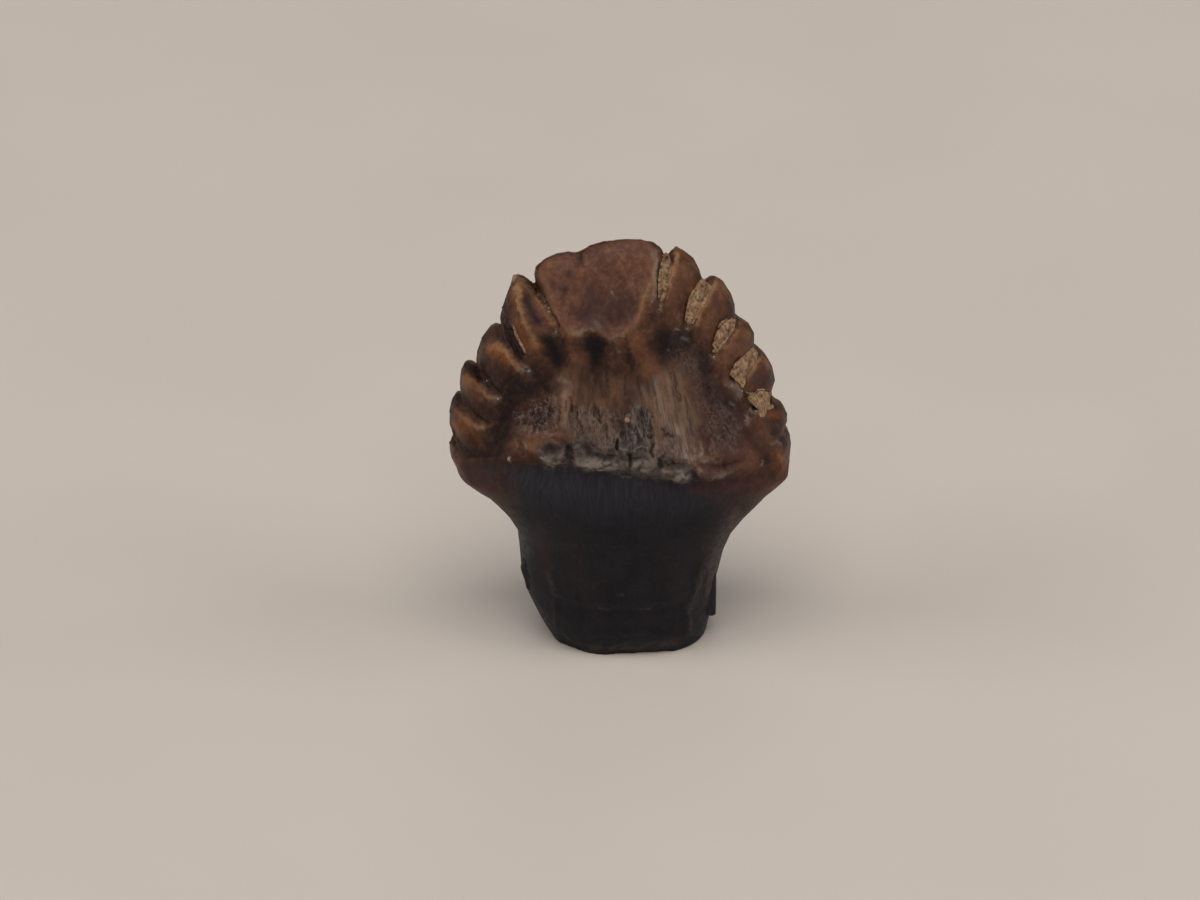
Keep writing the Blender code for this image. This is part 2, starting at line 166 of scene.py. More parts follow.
# Where a soft step begins and ends: how far a face turns to the front or the back, the edges of the back's
# patches and blots, and the heights where its cracks, its blots and the root's grey top come in
FRONT_TURN = (0.0, 0.25)
BACK_TURN = (0.15, 0.5)
BACK_STREAK_EDGE = (-0.5, 0.3)
BACK_FRAY_EDGE = (-0.2, 0.3)
BLOT_EDGE = (0.30, 0.55)
CRACK_FROM = (6.6, 7.4)
BLOT_FROM = (7.2, 8.6)
ROOT_TOP = (4.9, 7.2)
# Middle of the back's wear and of the root's sharp edge: centre, half width and how far it fades
BACK_MIDDLE = (-0.4, 4.2, 2.5)
ROOT_MIDDLE = (-0.2, 5.3, 2.6)
# The root's black: how far it starts over its edge, how much the edge wavers, and its sharp and soft steps
ROOT_RISE = 0.08
BACK_RISE = 0.2
BACK_WAVER = 0.10
FRONT_CALM = 0.06
FLANK_SHARP = 0.45
ROOT_SHARP = (0.0, 0.12)
ROOT_SOFT = (0.7, 2.2)
# Heights where the back's streaks and its frayed patch begin, are full, fade and end
BACK_STREAK_BAND = (6.3, 7.0, 8.2, 10.8)
BACK_FRAY_BAND = (6.4, 6.8, 7.2, 8.2)
# Where the fine mesh of the front begins, and how far over the ledge's edge its forms are sharp
FINE_FROM = 5.9
FINE_FACING = 0.25
FINE_SMOOTHING = 2
SHARP_FROM = (0.02, 0.14)

Level = namedtuple("Level", "z left right front back power")
ROOT_LEVELS = [
    Level(-0.6, -2.40, 2.45, -1.90, 1.95, 2.4),
    Level(0.0, -2.62, 2.75, -2.25, 2.30, 2.5),
    Level(0.7, -2.95, 2.90, -2.45, 2.45, 2.5),
    Level(1.5, -3.32, 2.97, -2.56, 2.50, 2.4),
    Level(2.4, -3.54, 3.14, -2.62, 2.52, 2.3),
    Level(3.2, -3.60, 3.32, -2.66, 2.55, 2.3),
    Level(3.9, -3.68, 3.62, -2.70, 2.58, 2.2),
    Level(4.5, -4.02, 4.08, -2.74, 2.60, 2.1),
    Level(5.0, -4.48, 4.56, -2.76, 2.62, 2.0),
    Level(5.5, -5.04, 5.00, -2.76, 2.62, 1.9),
    Level(6.0, -5.46, 5.28, -2.74, 2.61, 1.9),
    Level(6.5, -5.62, 5.32, -2.66, 2.56, 1.9),
    Level(7.1, -5.40, 5.10, -2.46, 2.42, 1.9),
]
CROWN_LEVELS = [
    Level(4.9, -4.20, 4.30, -2.40, 2.30, 1.9),
    Level(5.5, -5.20, 5.10, -2.62, 2.50, 1.9),
    Level(6.1, -6.00, 5.70, -2.72, 2.62, 1.9),
    Level(6.6, -6.25, 5.85, -2.66, 2.62, 1.9),
    Level(7.4, -6.30, 5.90, -2.48, 2.52, 1.9),
    Level(8.4, -6.20, 5.75, -2.22, 2.40, 1.9),
    Level(9.4, -5.95, 5.45, -1.88, 2.28, 1.9),
    Level(10.4, -5.50, 5.05, -1.48, 2.14, 1.9),
    Level(11.4, -4.95, 4.55, -1.02, 1.98, 2.0),
    Level(12.4, -4.35, 3.95, -0.50, 1.78, 2.0),
    Level(13.4, -3.75, 3.20, 0.12, 1.55, 2.1),
    Level(14.2, -3.20, 2.60, 0.60, 1.35, 2.2),
]

# The crown's outline as (x, z), clockwise from its lower left, one to three lines for each denticle
CROWN_OUTLINE = [
    (-3.90, 5.10), (-4.80, 5.45), (-5.42, 5.85), (-5.70, 6.12), (-5.76, 6.26),
    (-5.90, 6.50), (-5.92, 6.75), (-5.86, 7.05), (-5.78, 7.20),
    (-5.92, 7.55), (-5.90, 8.05), (-5.80, 8.46), (-5.65, 8.64), (-5.51, 8.58),
    (-5.52, 9.10), (-5.47, 9.50), (-5.36, 9.72), (-5.22, 9.74), (-5.02, 9.63), (-4.87, 9.48),
    (-4.97, 9.80), (-4.95, 10.15), (-4.80, 10.65), (-4.56, 10.96), (-4.34, 11.06), (-4.16, 10.98),
    (-4.20, 11.35), (-4.08, 11.80), (-3.91, 12.30), (-3.74, 12.72), (-3.57, 12.84), (-3.36, 12.76),
    (-2.99, 12.42),
    (-3.04, 12.90), (-2.98, 13.14), (-2.68, 13.42), (-2.28, 13.59), (-1.92, 13.63), (-1.67, 13.58),
    (-1.50, 13.69), (-1.20, 13.88), (-0.70, 14.03), (0.00, 14.10), (0.48, 14.10), (0.93, 13.98),
    (1.18, 13.76), (1.29, 13.44),
    (1.40, 13.68), (1.60, 13.83), (1.86, 13.73), (2.21, 13.44), (2.42, 13.05), (2.53, 12.62),
    (2.68, 12.76), (2.93, 12.80), (3.20, 12.64), (3.44, 12.22), (3.57, 11.80), (3.59, 11.36),
    (3.80, 11.20), (4.08, 11.04), (4.22, 10.78), (4.24, 10.30),
    (4.42, 10.18), (4.65, 9.98), (4.85, 9.62), (4.94, 9.12), (4.80, 8.74), (4.78, 8.44),
    (5.02, 8.24), (5.20, 8.20), (5.37, 7.93), (5.37, 7.66), (5.28, 7.45),
    (5.46, 7.20), (5.50, 6.85), (5.46, 6.45), (5.34, 6.00), (5.00, 5.55), (4.00, 5.10),
]

Groove = namedtuple("Groove", "depth apex_side outer_side line")
GROOVES = [
    Groove(0.30, 0.22, 0.40, [(-3.02, 12.75), (-2.82, 12.45), (-2.62, 12.05), (-2.25, 11.20)]),
    Groove(0.34, 0.50, 0.14, [(-4.25, 11.50), (-3.96, 11.15), (-3.71, 10.80), (-3.10, 10.00)]),
    Groove(0.44, 0.55, 0.15, [(-4.98, 10.10), (-4.70, 9.72), (-4.48, 9.42), (-4.15, 9.08)]),
    Groove(0.44, 0.55, 0.15, [(-5.70, 9.10), (-5.34, 8.76), (-5.04, 8.44), (-4.55, 8.12)]),
    Groove(0.40, 0.55, 0.14, [(-5.95, 7.75), (-5.62, 7.45), (-5.30, 7.24), (-4.85, 7.10)]),
    Groove(0.22, 0.25, 0.10, [(1.22, 13.60), (1.10, 12.90), (1.08, 12.55), (0.98, 11.90)]),
    Groove(0.42, 0.70, 0.12, [(2.52, 12.90), (2.20, 12.40), (2.00, 11.90), (1.72, 11.20)]),
    Groove(0.42, 0.75, 0.12, [(3.55, 11.60), (3.12, 11.35), (2.86, 10.90), (2.60, 10.30)]),
    Groove(0.42, 0.65, 0.12, [(4.25, 10.50), (3.80, 10.20), (3.55, 9.90), (3.20, 9.40)]),
    Groove(0.40, 0.65, 0.12, [(4.90, 8.70), (4.40, 8.90), (4.10, 8.70), (3.70, 8.40)]),
    Groove(0.35, 0.45, 0.15, [(5.40, 7.45), (5.05, 7.45), (4.60, 7.30)]),
]
GROOVE_POWER = 1.5
BACK_GROOVE_SHARE = 0.8

FACET_EDGE = [
    (1.30, 13.90), (1.10, 13.40), (0.92, 13.10), (0.68, 12.70), (0.40, 12.00), (-0.06, 11.54),
    (-0.49, 11.38), (-0.80, 11.64), (-1.11, 11.82), (-1.40, 11.65), (-1.62, 11.49), (-2.03, 11.64),
    (-2.45, 12.15), (-2.85, 12.85), (-3.05, 13.40), (-1.60, 14.40), (0.40, 14.60),
]
FACET_DEPTH = 0.15
FACET_SOFTNESS = 0.30

# Lower edge of the ledge round the crown's base, as (x, z, how far the ledge stands out)
FRONT_LEDGE = [
    (-6.10, 6.60, 0.03), (-5.45, 6.76, 0.05), (-5.02, 6.92, 0.08), (-4.51, 7.10, 0.14), (-4.01, 7.26, 0.22),
    (-3.52, 7.44, 0.30), (-2.79, 7.56, 0.34), (-2.33, 7.48, 0.36), (-1.67, 7.48, 0.36), (-1.27, 7.41, 0.36),
    (-0.35, 7.36, 0.36), (0.20, 7.38, 0.36), (0.83, 7.24, 0.35), (1.59, 6.98, 0.34), (2.05, 6.90, 0.34),
    (2.61, 6.86, 0.33), (3.17, 6.87, 0.30), (3.94, 6.91, 0.24), (4.71, 6.92, 0.18), (5.70, 6.85, 0.12),
]
BACK_LEDGE = [
    (-6.10, 6.35, 0.08), (-4.90, 6.52, 0.14), (-3.90, 6.42, 0.20), (-3.00, 6.70, 0.24), (-2.20, 6.60, 0.20),
    (-1.20, 6.86, 0.24), (-0.30, 6.68, 0.20), (0.60, 6.86, 0.24), (1.60, 6.60, 0.20), (2.60, 6.74, 0.24),
    (3.50, 6.44, 0.18), (4.60, 6.50, 0.15), (5.70, 6.35, 0.10),
]
LEDGE_LIP = 0.16
LEDGE_HEIGHT = 1.20
LEDGE_TROUGH = 0.06
LIP_POWER = 0.5

# Flat breaks round the root's end: a point on each and its outward direction
BREAKS = [
    ((-2.58, 0.0, 0.0), (-0.86, -0.12, -0.50)),
    ((-1.74, -1.80, 0.0), (-0.50, -0.74, -0.45)),
    ((2.42, -1.45, 0.0), (0.75, -0.50, -0.43)),
    ((0.20, -2.10, 0.0), (0.08, -0.90, -0.42)),
    ((1.60, 2.15, 0.45), (0.35, 0.78, -0.52)),
    ((-1.90, 2.10, 0.40), (-0.40, 0.72, -0.56)),
]

# Outlines of the sediment plugs as (x, z), from the apex down
PLUGS = [
    [
        (1.05, 12.55), (1.06, 13.10), (1.13, 13.42), (1.28, 13.56), (1.46, 13.48), (1.42, 13.20),
        (1.28, 12.80), (1.16, 12.55),
    ],
    [
        (2.10, 11.76), (1.94, 11.91), (2.00, 12.27), (2.14, 12.58), (2.38, 12.70), (2.58, 12.62),
        (2.44, 12.24), (2.24, 11.88),
    ],
    [
        (2.84, 10.85), (2.86, 11.11), (2.98, 11.37), (3.14, 11.52), (3.42, 11.52), (3.56, 11.38),
        (3.30, 11.12), (3.04, 10.88),
    ],
    [
        (3.42, 10.10), (3.58, 10.36), (3.86, 10.46), (4.08, 10.48), (4.20, 10.32), (3.94, 9.98),
        (3.87, 9.66), (3.70, 9.78),
    ],
    [
        (3.92, 9.32), (4.20, 9.36), (4.44, 9.36), (4.68, 9.05), (4.79, 8.80), (4.80, 8.44), (4.60, 8.40),
        (4.38, 8.50), (4.34, 8.84),
    ],
]

# The last slot as it is cut: open at the rim, where the sediment itself is the tooth's outline
OPEN_SLOT = [
    (3.92, 9.32), (4.20, 9.36), (4.44, 9.36), (4.70, 9.05), (4.84, 8.88), (5.40, 8.84), (5.40, 8.36),
    (4.94, 8.44), (4.60, 8.40), (4.38, 8.50), (4.34, 8.84),
]


def places(text):
    """The places that a text of pairs such as 12,34 gives."""
    return [tuple(float(part) for part in pair.split(",")) for pair in text.split()]


def strokes(text):
    """The marks that lines of text give: half width, strength, and the places the stroke runs through."""
    rows = [row.split(maxsplit=2) for row in text.strip().splitlines() if not row.startswith("#")]
    return [(float(half_width), float(strength), places(line)) for half_width, strength, line in rows]


# Where the root's black begins on the front, drawn in the picture plane
ROOT_EDGE = places("""
    440,462 470,466 500,464 508,463 540,463 556,464 566,467
    574,463 582,465 592,466 605,467 617,467 630,466 640,468
    648,471 656,469 664,473 672,476 682,478 688,477 694,473 702,478 712,479 730,478 748,475 765,473 800,468
""")

# Relief on the front, drawn in the picture plane: half width in pixels, height in millimetres, outward where
# it is positive, and the line
RELIEF = strokes("""
# worn facet: ridge along its lower edge, nick at its top
3.5 0.05 651,281 646,294 642,307 638,320 631,329 625,333 618,336 611,340
3 0.05 611,340 603,334 596,330 583,330 579,334 573,337 566,331 560,324
3 0.04 560,324 553,312 550,300 546,287 541,276 538,268
1.6 -0.06 580,252 580,256 579,261
2 0.04 578,251 580,252
2.5 -0.04 576,261 577,268
# first denticle on the left: crest, second ridge, hollow between them, crack beside the facet
3.2 0.11 516,279 518,289 519,300 521,310 524,320 529,331
2.8 0.09 523,281 531,291 538,300 545,312 552,326
4.5 -0.05 526,301 532,312 537,323
1.6 -0.09 537,288 542,298 547,306 554,316 558,327
2.2 -0.04 503,316 511,330 516,342
1.4 0.04 503,307 506,313
# pale sliver between the first two denticles on the left, with a shadowed line on each side
1.4 -0.06 510,327 513,335 517,343 523,354
1.2 0.04 505,307 508,320 516,336
1.5 0.05 520,360 524,365 527,369
# second to fifth denticles on the left: crests and hollows
4.5 0.09 489,351 497,348 504,352 512,359 517,366 521,372
2 0.04 504,335 510,345 514,352
1.6 -0.07 504,327 509,338 515,348 521,360
3.5 0.08 466,374 471,379 476,384 482,392 490,397 498,399
2 -0.06 482,374 487,381 493,388 499,394
3 0.08 455,411 461,414 467,420 473,424 480,428 487,428
2 -0.06 466,408 474,415 482,421 489,424
1.8 0.06 451,443 455,448
2.5 -0.07 453,437 457,441
2 -0.04 452,459 466,458 482,457 500,456
# denticles on the right: crests beside the sediment
2.6 0.07 677,249 677,257 674,265 672,271 669,280 666,293 664,301
2.6 0.07 714,282 712,288 709,296 704,305 700,312 695,323 692,330
2.6 0.07 739,325 734,334 727,343 722,349
2.6 0.06 759,354 755,363 750,369 747,377
2.6 0.06 776,408 770,412 764,413 759,417
3 -0.05 672,252 671,260
2.8 0.05 730,385 735,390 739,394
2.4 0.05 748,412 748,422
2 0.05 769,443 778,444
3 -0.06 775,432 778,436
2.5 0.05 777,456 782,462 781,470
# ledge: lumps along its lower edge with their lips, and the gaps between them
8 0.08 516,456 530,457
1.4 -0.05 511,451 516,446 521,444
1.5 0.05 516,440 518,447
1.5 0.06 522,440 525,446 529,451
1.3 -0.05 520,441 522,449
2.2 0.08 529,448 536,453 543,458 550,462 556,464 562,460
6 -0.11 548,449 556,451
3 0.05 545,439 556,436 562,437
5 -0.17 569,450 570,460
4 0.12 577,462 586,464 597,464
4 0.1 602,465 613,465
5 -0.07 588,450 592,455
4 0.05 577,450 581,453
4.5 0.05 600,448 611,449
2 -0.05 597,456 612,458
1.6 -0.16 617.5,440 617.5,448
3 0.08 623,454 625,464
1.8 -0.15 630,455 631,466
5 0.13 638,464 649,467
3.5 0.05 641,455 653,461
1.6 -0.06 634,458 646,460 654,467
1.1 0.07 620,449 625,450 630,453 634,449 641,447 647,450 651,457
2.6 -0.15 661,458 662,467
4 0.14 668,473 680,476 687,475
3.5 -0.09 668,465 680,465 690,467
1.8 0.05 697,459 704,456 712,460 720,456
4 -0.12 694,473 696,479
3.5 0.09 704,474 718,475 735,470 748,467
2.5 -0.06 704,466 720,467 738,463
1.5 -0.05 722,462 727,474
# slits in the worn part above the ledge
0.9 -0.05 599,412 599.5,424
0.8 -0.04 581,421 582,433
1.2 -0.08 653,445 653,456
1 -0.05 651,430 651,438
1.8 -0.05 663,430 668,436 673,437
0.8 -0.04 566,401 566,412
0.8 -0.03 559,410 559,424
0.9 -0.05 571,398 572,412
0.9 -0.05 577,414 578,428
0.9 -0.05 594,404 595,416
0.9 -0.04 606,426 608,438
0.9 -0.04 549,404 550,420
1.2 0.05 562,396 563,420
1.2 0.05 574,404 574,430
1.2 0.05 602,410 604,436
0.8 -0.04 589,427 590,432
0.8 -0.03 586,406 589,416
0.8 -0.03 675,372 677,388 681,402
0.8 -0.03 684,398 688,418 693,436
0.8 -0.03 654,378 656,396
0.8 -0.03 608,372 607,388
0.8 -0.03 625,376 625,396
1.2 0.05 556,414 557,428
1.5 0.06 529,416 532,422
1.2 0.05 633,433 634,443
1.2 0.05 640,430 642,444
3 0.05 545,434 552,433
# root: chip on its left side, bevels of the broken end, scratches
1.6 -0.08 521,558 525,561
3 0.1 522,567 524,577 528,587
1.4 -0.05 526,562 528,574 531,588
3 0.07 551,575 554,589 562,596 575,599
4 0.03 575,599 600,603 640,604 668,600 688,590
3 -0.03 560,606 600,611 640,612 680,606
3 -0.06 706,572 704,586 702,604
2.5 0.06 556,600 558,626
2.5 -0.05 531,600 540,616 550,630
3 0.04 590,634 640,632 670,634
3.5 0.1 703,566 699,576 693,595 688,607 688,620 689,632
1.2 0.03 600,609 610,608
1.2 0.03 637,609 649,608
1 -0.03 550,504 556,519
1.6 0.04 618,594 623,595
""")

# Colour marks on the front, one list for each colour: half width in pixels, strength up to 1, and the line
# Pale marks: the ledge's whitish lips, specks and worn lines, and painted highlights on the root's ridges and
# flanks, its chip's edge and the ends of the left crests
PALE_AND_HIGHLIGHT = strokes("""
4 0.1 590,648 640,648 676,643
2.2 0.07 551,575 554,589 562,596
2.4 0.1 703,566 699,576 693,595 688,607 688,620 689,632
1.6 0.3 521,564 523,575 527,586
0.9 0.14 600,609 610,608
0.9 0.12 637,609 649,608
1.1 0.14 618,594 622,595
7 0.17 512,516 520,534 525,552
7 0.2 736,516 724,536 716,556 712,600
1.6 0.85 515,279 516,285
3.6 0.9 577,464 584,466 593,466 604,466 615,466
3.5 0.55 590,461 604,461
3.2 0.8 634,466 641,468 648,470
3.5 0.45 638,461 654,464
3.6 0.8 665,474 676,477 687,477
3 0.5 676,471 688,472
3 0.45 622,463 626,460
2.4 0.5 692,468 700,471
1.8 0.75 537,453 543,457 550,462 556,464 561,462
3 0.45 550,458 558,457 563,452
2.4 0.3 543,445 550,441 558,443
2.6 0.45 703,474 711,478 721,475 731,472
1.3 0.45 520,360 524,365 527,369
2.2 0.55 523,371 530,372
1.4 0.95 549,308 549,309
1.2 0.6 549,313 549,314
0.9 0.6 541,296 544,301
1.8 0.35 555,331 557,334
2 0.45 493,398 500,399
1.6 0.35 491,402 496,402
1.5 0.6 487,380 487,381
2 0.35 480,427 487,428
2.2 0.95 509,458 509,460
1.6 0.55 529,416 532,422
1.6 0.35 515,415 522,417 528,415
1.4 0.45 556,414 557,428
2.4 0.55 545,435 552,433
1.5 0.4 516,446 518,443
1.2 0.45 524,443 527,449
1.5 0.6 633,433 634,442
1.2 0.5 640,430 642,444
1.2 0.4 646,424 649,434
1.3 0.45 621,440 621,447
1.4 0.6 620,449 625,450 630,453
1.4 0.6 630,453 634,449 641,447 647,450
1.4 0.45 656,440 656,458
1.3 0.35 640,407 643,404
2.5 0.35 596,322 602,327
2.2 0.45 582,330 586,329
1.6 0.35 592,329 595,331
2.5 0.4 576,334 580,334
3 0.3 612,339 620,337
1.2 0.55 612,292 613,293
1.3 0.5 652,301 652,303
2 0.4 661,306 660,311
1.4 0.35 676,329 680,330
1.4 0.4 686,328 689,330
2 0.3 683,338 688,339
1.2 0.45 668,349 669,350
1.5 0.45 712,356 716,359
1.3 0.4 619,350 620,352
1.4 0.4 732,402 734,406
1.2 0.4 731,386 734,390
1.2 0.4 752,411 756,412
1.2 0.45 762,461 762,467
2 0.35 770,443 778,443
1.3 0.35 785,434 787,438
1.6 0.3 695,447 696,454
1.4 0.3 711,447 712,453
1.2 0.3 700,456 706,463
1.2 0.25 708,457 714,463
2 0.35 513,279 518,277
2 0.3 465,370 468,372
""")
# Tan stains, and painted highlights along the lit crests of the denticles and the facet's ridges
TAN_AND_CREST_LIGHT = strokes("""
2 0.6 517,278 524,283 530,290
2.6 0.45 478,360 482,350
1.6 0.45 652,254 655,266 654,284
2 0.4 688,250 697,258 700,270
2 0.35 722,284 730,292 733,306
2 0.5 742,321 750,324
2.2 0.4 768,364 771,374
4.5 0.85 516,281 518,290 519,300
3.2 0.85 519,300 521,310 524,320 529,331 536,345
2.6 0.8 523,281 531,291 538,300 545,312 552,326
3 0.35 541,272 546,286 551,302 557,316 560,326
4.5 0.75 490,347 496,346 501,350
2.4 0.85 498,344 506,352 513,361 520,369
4 0.55 464,376 467,383
3.2 0.65 472,380 480,388 488,395 497,399
2 0.5 478,336 485,330 492,329
3 0.3 462,376 463,386
2.6 0.65 457,411 463,417 469,422 477,427 485,428
1.8 0.4 452,424 457,433
1.4 0.6 450,443 454,449
3 0.35 454,462 457,467
2.6 0.8 677,249 677,257 675,266 673,276 669,288 665,298
2.6 0.75 716,280 714,288 710,297 705,306 700,314 696,324
2.6 0.7 741,323 737,332 731,340 726,348
5 0.45 744,326 748,334
5 0.35 712,312 706,326
2.6 0.7 760,354 757,362 753,369 749,378
3 0.45 697,268 694,262
5 0.35 716,284 720,292
4.5 0.35 764,356 768,362
4 0.4 655,262 655,280 652,292
3.5 0.5 651,283 646,295 642,308 638,320 631,329 623,334
3.5 0.45 612,340 603,333 596,330 584,331 573,336 566,330
5 0.3 548,266 556,262
4 0.65 566,396 566,408 565,424
2.5 0.5 571,395 574,402
5 0.35 578,418 577,432
4 0.45 603,402 604,420 606,436
3.5 0.35 593,415 594,432
7 0.55 656,398 657,414 661,424
7 0.45 667,378 668,395 668,412
6 0.35 683,384 684,402 684,420
8 0.6 678,436 682,446 684,454
4 0.5 658,434 659,446 658,458
3 0.45 644,440 648,448 650,456
3.5 0.25 716,474 730,470 742,468
3 0.35 513,447 521,444 530,446 538,444
3 0.45 533,450 541,454 546,458
3 0.35 780,453 782,459
3 0.3 770,492 778,482
5 0.3 615,396 617,384
5 0.35 566,384 568,396
""")
# Painted highlights along the lit crests of the denticles and the facet's ridge, in a golden tone
GOLD_HIGHLIGHT = strokes("""
1.6 0.6 678,249 677,257 675,266 672,276 669,286
2.2 0.5 676,247 681,251
1.6 0.55 715,281 713,288 709,297 704,306 700,313 696,322
1.6 0.5 740,324 736,332 730,341 725,348
1.6 0.5 760,355 757,362 752,369 748,377
2.4 0.6 517,280 518,290 519,300
1.6 0.45 519,300 521,311 525,322
2 0.6 517,278 524,282 531,290
2.4 0.25 498,348 506,354 513,362
1.6 0.25 650,284 645,297 641,310 636,322
""")
WARM = strokes("""
5.5 0.85 493,351 500,353 507,359
5 0.55 465,376 469,382
4 0.35 474,392 480,399
8 0.75 459,421 463,427
6 0.4 476,438 479,441
2.5 0.5 453,463 455,467
4.5 0.5 520,323 522,336 528,344
1.6 0.6 517,281 521,290
3.5 0.45 511,286 512,300
5 0.45 580,268 584,276
5 0.35 548,268 553,276
5 0.3 640,258 648,262
3 0.45 691,290 697,282
4 0.35 685,254 683,264
5 0.35 722,300 724,308
4 0.3 740,336 736,344
5 0.35 764,364 764,372
3 0.45 768,415 776,415
6 0.45 758,422 764,428
6 1 780,454 780,463 779,469
4 0.55 784,470 778,482
4 0.6 744,322 749,330
5 0.3 768,413 776,416
6 0.25 636,342 640,352
5 0.3 752,384 756,388
4 0.15 552,440 562,437
4 0.3 744,466 752,466
4 0.35 545,346 536,350
""")
# Dark blots and stains, and painted shade in the grooves, slits and the ledge's gaps, and along the shaded
# right edges of the right denticles
DARK_AND_SHADE = strokes("""
7 0.65 589,344 605,344
8.5 0.97 552,342 554,352 559,361
7 0.65 546,340 548,352
10.5 0.85 594,341 597,352
5 0.55 562,340 564,350
6 0.8 595,352 597,362
3 0.6 592,360 593,369
2.5 0.45 598,364 600,386
3 0.6 629,350 629,362 632,370
1.6 0.45 626,334 627,345
9.5 0.85 664,336 668,348
7 0.65 657,345 664,362
12 0.35 684,340 692,350
6 0.5 676,338 684,344
5 0.5 653,314 654,322
8 0.6 702,356 706,370
5 0.4 705,366 707,392
5 0.45 683,333 690,337
9 0.55 516,382 526,394
9 0.55 512,396 506,420 500,440
7 0.55 533,370 545,384
3.8 0.55 526,300 532,312 537,321
3 0.35 508,296 509,306
3 0.5 570,271 570,275
3 0.4 564,290 565,294
3 0.6 580,254 582,262
2 0.4 577,258 576,266
1.3 0.5 537,289 542,298 547,306 554,316 558,327
3 0.5 504,300 502,312 504,322
1.5 0.75 510,327 513,335 517,343 523,355
1.8 0.55 504,326 509,338 515,349 521,360
4 0.4 484,340 483,352
3.5 0.45 478,370 485,378 492,388
3.5 0.35 465,366 472,370
3.5 0.45 461,396 470,408 480,418
3.5 0.5 453,437 456,441
5 0.4 461,449 470,454 490,456 502,452
1.3 0.85 659,262 659,272 658,288 658,300
1.1 0.55 672,266 669,277 667,289 663,301
3.2 0.5 669,258 672,262
1.4 0.7 699,285 692,297 687,308 685,320
1.2 0.55 711,288 706,298 700,309 694,322
1.4 0.65 720,321 717,331 714,342 712,352
1.2 0.5 735,331 730,339 724,347
1.4 0.6 741,358 735,363 730,372
3 0.6 731,377 738,380
3.5 0.55 742,392 749,399
4 0.55 753,405 757,408
1.3 0.6 748,392 755,391 761,387
3 0.55 728,302 732,312
3 0.45 724,318 731,316
3 0.45 697,262 701,272
3 0.45 771,372 774,384
4 0.5 775,431 778,437
4 0.4 783,440 786,446
6 0.5 754,446 762,454 766,458
4 0.4 773,474 776,480
7 0.45 724,392 728,404
6 0.4 708,388 712,398
1.7 0.9 617.5,440 617.5,448
0.9 0.75 599,412 599.5,424
0.9 0.55 581,421 582,433
1.2 0.6 653,445 653,456
1.1 0.5 651,430 651,438
1.8 0.5 663,430 667,435 672,437
1.6 0.35 665,437 670,430
0.9 0.45 566,401 566,412
0.9 0.4 559,410 559,424
1 0.55 571,398 572,412
1 0.5 577,414 578,428
1 0.5 594,404 595,416
1 0.45 606,426 608,438
1 0.45 549,404 550,420
1 0.4 583,394 584,404
1 0.35 614,398 616,412
1 0.4 638,378 640,394
1 0.4 664,386 667,402
1 0.35 692,392 696,410
1 0.5 589,427 590,432
1 0.4 586,406 589,416
1 0.45 675,372 677,388 681,402
1 0.4 684,398 688,418 693,436
1 0.35 654,378 656,396
1 0.35 608,372 607,388
1 0.35 625,376 625,396
4.5 0.6 547,450 554,451
4 0.65 567,450 569,458 571,465
2 0.8 630,455 631,467
1.8 0.55 619,452 618,463
1.6 0.5 692,470 696,476
3.5 0.45 621,452 622,460
4.5 0.45 637,455 642,457
5.5 0.7 587,447 592,456
3 0.45 600,456 612,459
4 0.3 578,442 590,441
2.6 0.8 660,458 662,467
2 0.35 597,456 612,458
1.6 0.4 646,461 653,467
1.3 0.45 652,442 652,456
1.3 0.35 577,428 578,437
4 0.5 642,412 643,428
3 0.45 618,420 622,434
4 0.4 628,428 627,444
3.5 0.55 694,474 695,481
2 0.3 678,400 679,410
1.5 0.35 671,372 674,392 679,402
""")
# Broad shadows of brown
SHADE = strokes("""
6 0.35 456,404 455,416
8 0.45 468,436 480,446
8 0.4 776,420 782,432
8 0.3 758,372 766,378
10 0.35 592,286 610,300 632,300
12 0.45 534,372 548,384
8 0.4 770,430 760,440
14 0.3 458,470 480,476 500,474
5 0.55 452,404 451,420
5.5 0.75 484,336 493,333 502,336 509,345
4.5 0.7 464,367 472,370 479,377
5 0.7 453,399 457,405 464,412
8 0.55 500,366 504,380
8 0.45 482,368 492,384 500,394
9 0.55 476,398 490,412 498,420
9 0.7 474,446 486,442 496,432
16 0.55 480,466 520,470
10 0.5 522,384 538,396
10 0.5 508,392 500,410
6 0.5 512,340 516,350
5 0.45 504,308 508,322 514,334
8 0.45 748,396 752,412
9 0.35 770,420 780,436
8 0.45 757,370 765,384
11 0.4 588,314 604,320 622,314
13 0.6 716,392 722,410 728,436
9 0.5 738,404 744,418 746,436
12 0.45 500,388 506,400
4 0.5 505,318 510,332 516,346
5 0.55 484,362 478,352
4 0.5 464,380 463,390
5 0.5 494,380 500,386
5 0.45 480,412 490,418
12 0.55 505,395 503,415 500,440
9 0.55 492,372 488,364
8 0.45 484,404 494,412
9 0.6 470,440 482,442 492,440
5 0.55 454,404 452,416 453,430
7 0.55 453,440 456,450
9 0.45 532,384 545,390
10 0.4 596,378 604,392
6 0.4 532,456 520,458
9 0.45 712,470 736,466
7 0.45 768,424 776,420
9 0.4 726,396 734,404
4 0.4 699,262 702,274
4 0.4 731,296 734,312
3.5 0.45 752,330 753,344
3.5 0.45 772,372 773,386
13 0.55 548,342 556,358
15 0.6 596,346 598,364
9 0.45 630,350 633,372
15 0.6 664,336 676,352 688,340
10 0.5 704,352 708,386
13 0.6 512,378 524,394
14 0.6 508,404 500,432 494,446
9 0.4 545,376 532,384
9 0.45 503,312 512,338 520,356
7 0.45 478,372 490,386
7 0.45 462,398 476,412
9 0.45 462,450 494,456
8 0.4 560,446 612,446
9 0.4 622,420 634,440
12 0.45 728,402 722,432
9 0.4 764,448 772,472
9 0.35 606,366 630,392
""")
